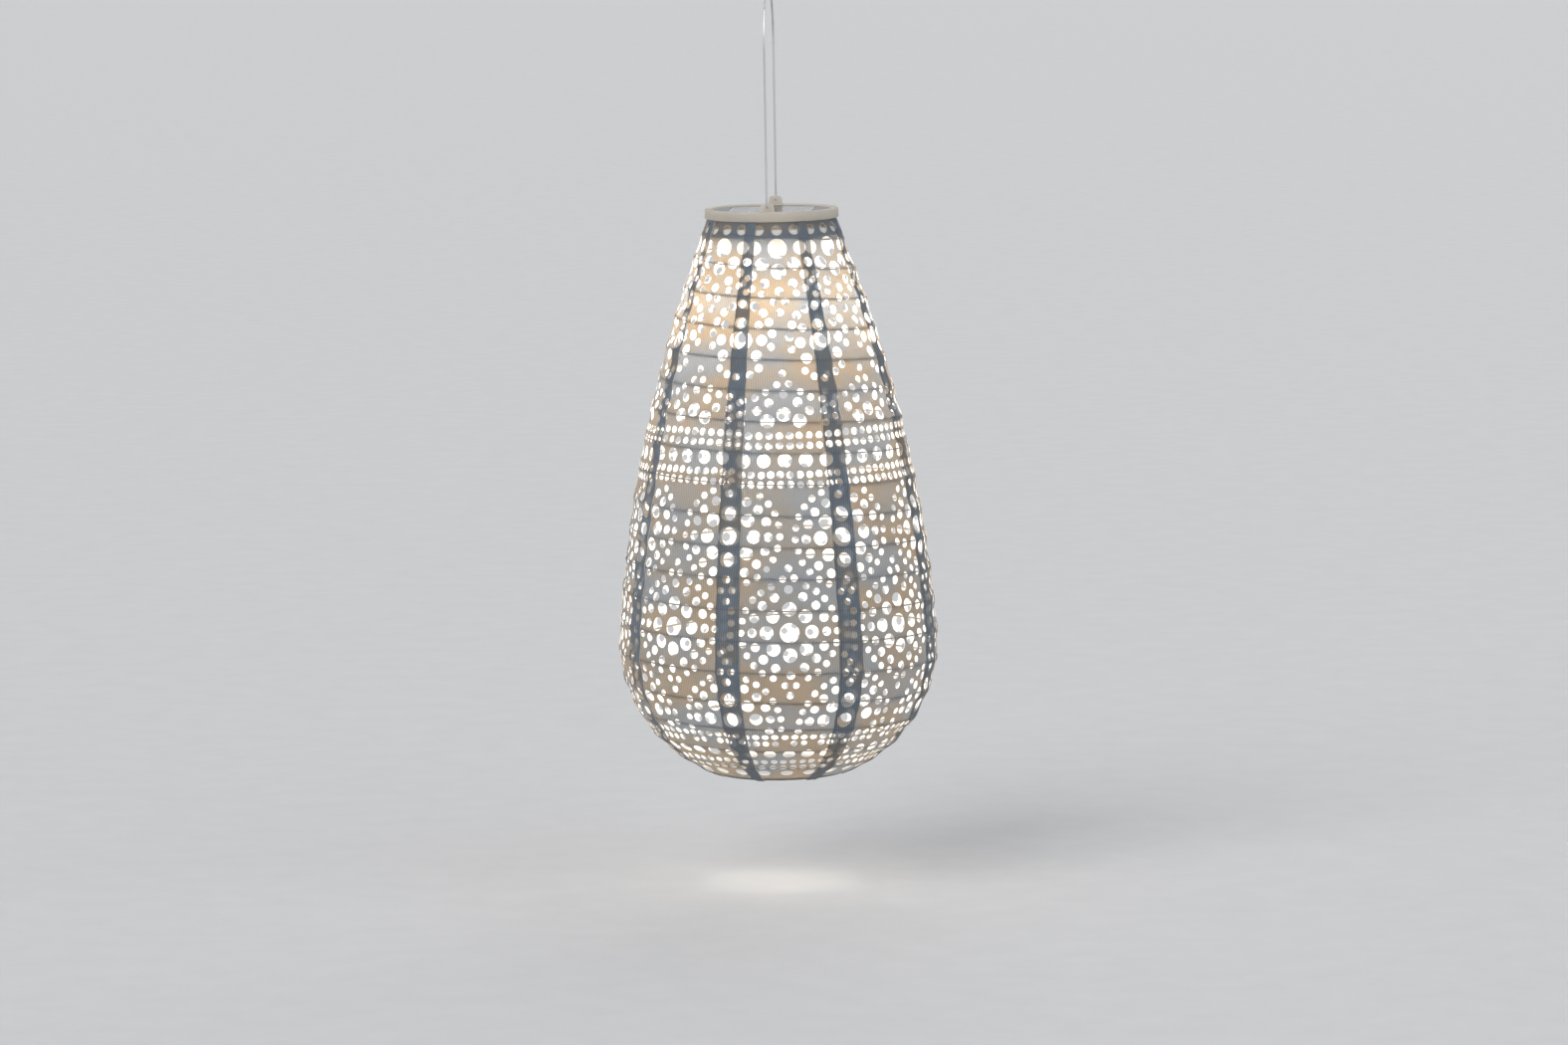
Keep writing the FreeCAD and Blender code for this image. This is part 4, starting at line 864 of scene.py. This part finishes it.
mouth_z = float(shade(SHADE_LENGTH)[1])
floor_mesh = bpy.data.meshes.new("floor")
floor_z = (mouth_z - FLOOR_DROP - HANG) * MM
floor_corners = [(x * FLOOR_HALF, y * FLOOR_HALF, floor_z) for x, y in ((-1, -1), (1, -1), (1, 1), (-1, 1))]
floor_mesh.from_pydata(floor_corners, [], [(0, 1, 2, 3)])
floor = bpy.data.objects.new("floor", floor_mesh)
scene.collection.objects.link(floor)
floor_paint = plastic("floor_paint", (0.66, 0.66, 0.66), 0.8, 300.0, 0.02)
floor_mesh.materials.append(floor_paint.material)


def sun_light(name, way, spread, power, colour):
    """A broad soft light from far away."""
    light = bpy.data.lights.new(name, "SUN")
    light.angle = math.radians(spread)
    light.energy = power
    light.color = colour
    obj = bpy.data.objects.new(name, light)
    obj.rotation_euler = Vector(way).to_track_quat("-Z", "Y").to_euler()
    scene.collection.objects.link(obj)


sun_light("key", (0.55, 0.75, -0.75), 40.0, 1.25, (1.0, 0.98, 0.95))
sun_light("fill", (-0.9, 0.5, -0.5), 60.0, 0.5, (0.92, 0.96, 1.0))
sun_light("back", (-0.2, -0.9, -0.6), 50.0, 0.4, (1.0, 1.0, 1.0))

# the lamp's beam, and the light that the pale lining spreads down the shade, which falls on the cloth alone
LAMP_COLOUR = (1.0, 0.92, 0.82)
BEAM_ANGLE = math.radians(176)
lit_cloth = bpy.data.collections.new("lit_cloth")
for gore in gores:
    lit_cloth.objects.link(gore)


def lamp_light(name, kind, drop, power, size):
    """A light on the lantern's axis, some way below the rim, that goes where the module goes."""
    light = bpy.data.lights.new(name, kind)
    light.energy = power
    light.color = LAMP_COLOUR
    light.shadow_soft_size = size
    obj = bpy.data.objects.new(name, light)
    if kind == "SPOT":
        light.spot_size = BEAM_ANGLE
        light.spot_blend = 0.2
    else:
        obj.light_linking.receiver_collection = lit_cloth
    obj.location = (0.0, 0.0, (-drop - HANG) * MM)
    obj.visible_camera = False
    scene.collection.objects.link(obj)
    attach(obj, "module")


lamp_light("lamp_beam", "SPOT", 35.0, 0.3, 0.006)
lamp_light("lining_light_neck", "POINT", 50.0, 0.5, 0.012)
lamp_light("lining_light_middle", "POINT", 135.0, 0.26, 0.012)
lamp_light("lining_light_belly", "POINT", 246.0, 0.33, 0.012)

# the camera looks slightly down from a few metres away, a little to the right of the front
CAMERA_DISTANCE = 3.3
CAMERA_HEIGHT = 230.0
CAMERA_AIM = -174.0
CAMERA_SIDE = math.radians(4.0)
CAMERA_ROLL = math.radians(-0.95)
AIM_RIGHT = 0.004
FOCAL_PIXELS = 6051.0
IMAGE_WIDTH = 1575.0

camera = bpy.data.cameras.new("camera")
camera.sensor_width = 36.0
camera.lens = FOCAL_PIXELS / IMAGE_WIDTH * camera.sensor_width
camera.clip_end = 200.0
camera_object = bpy.data.objects.new("camera", camera)
right = Vector((math.cos(CAMERA_SIDE), math.sin(CAMERA_SIDE), 0))
back = Vector((math.sin(CAMERA_SIDE), -math.cos(CAMERA_SIDE), 0))
place = back * CAMERA_DISTANCE + right * AIM_RIGHT + Vector((0, 0, (CAMERA_HEIGHT - HANG) * MM))
aim = right * AIM_RIGHT + Vector((0, 0, (CAMERA_AIM - HANG) * MM))
turn = (aim - place).to_track_quat("-Z", "Y").to_matrix().to_4x4()
camera_object.matrix_world = Matrix.Translation(place) @ turn @ Matrix.Rotation(CAMERA_ROLL, 4, "Z")
scene.collection.objects.link(camera_object)
scene.camera = camera_object
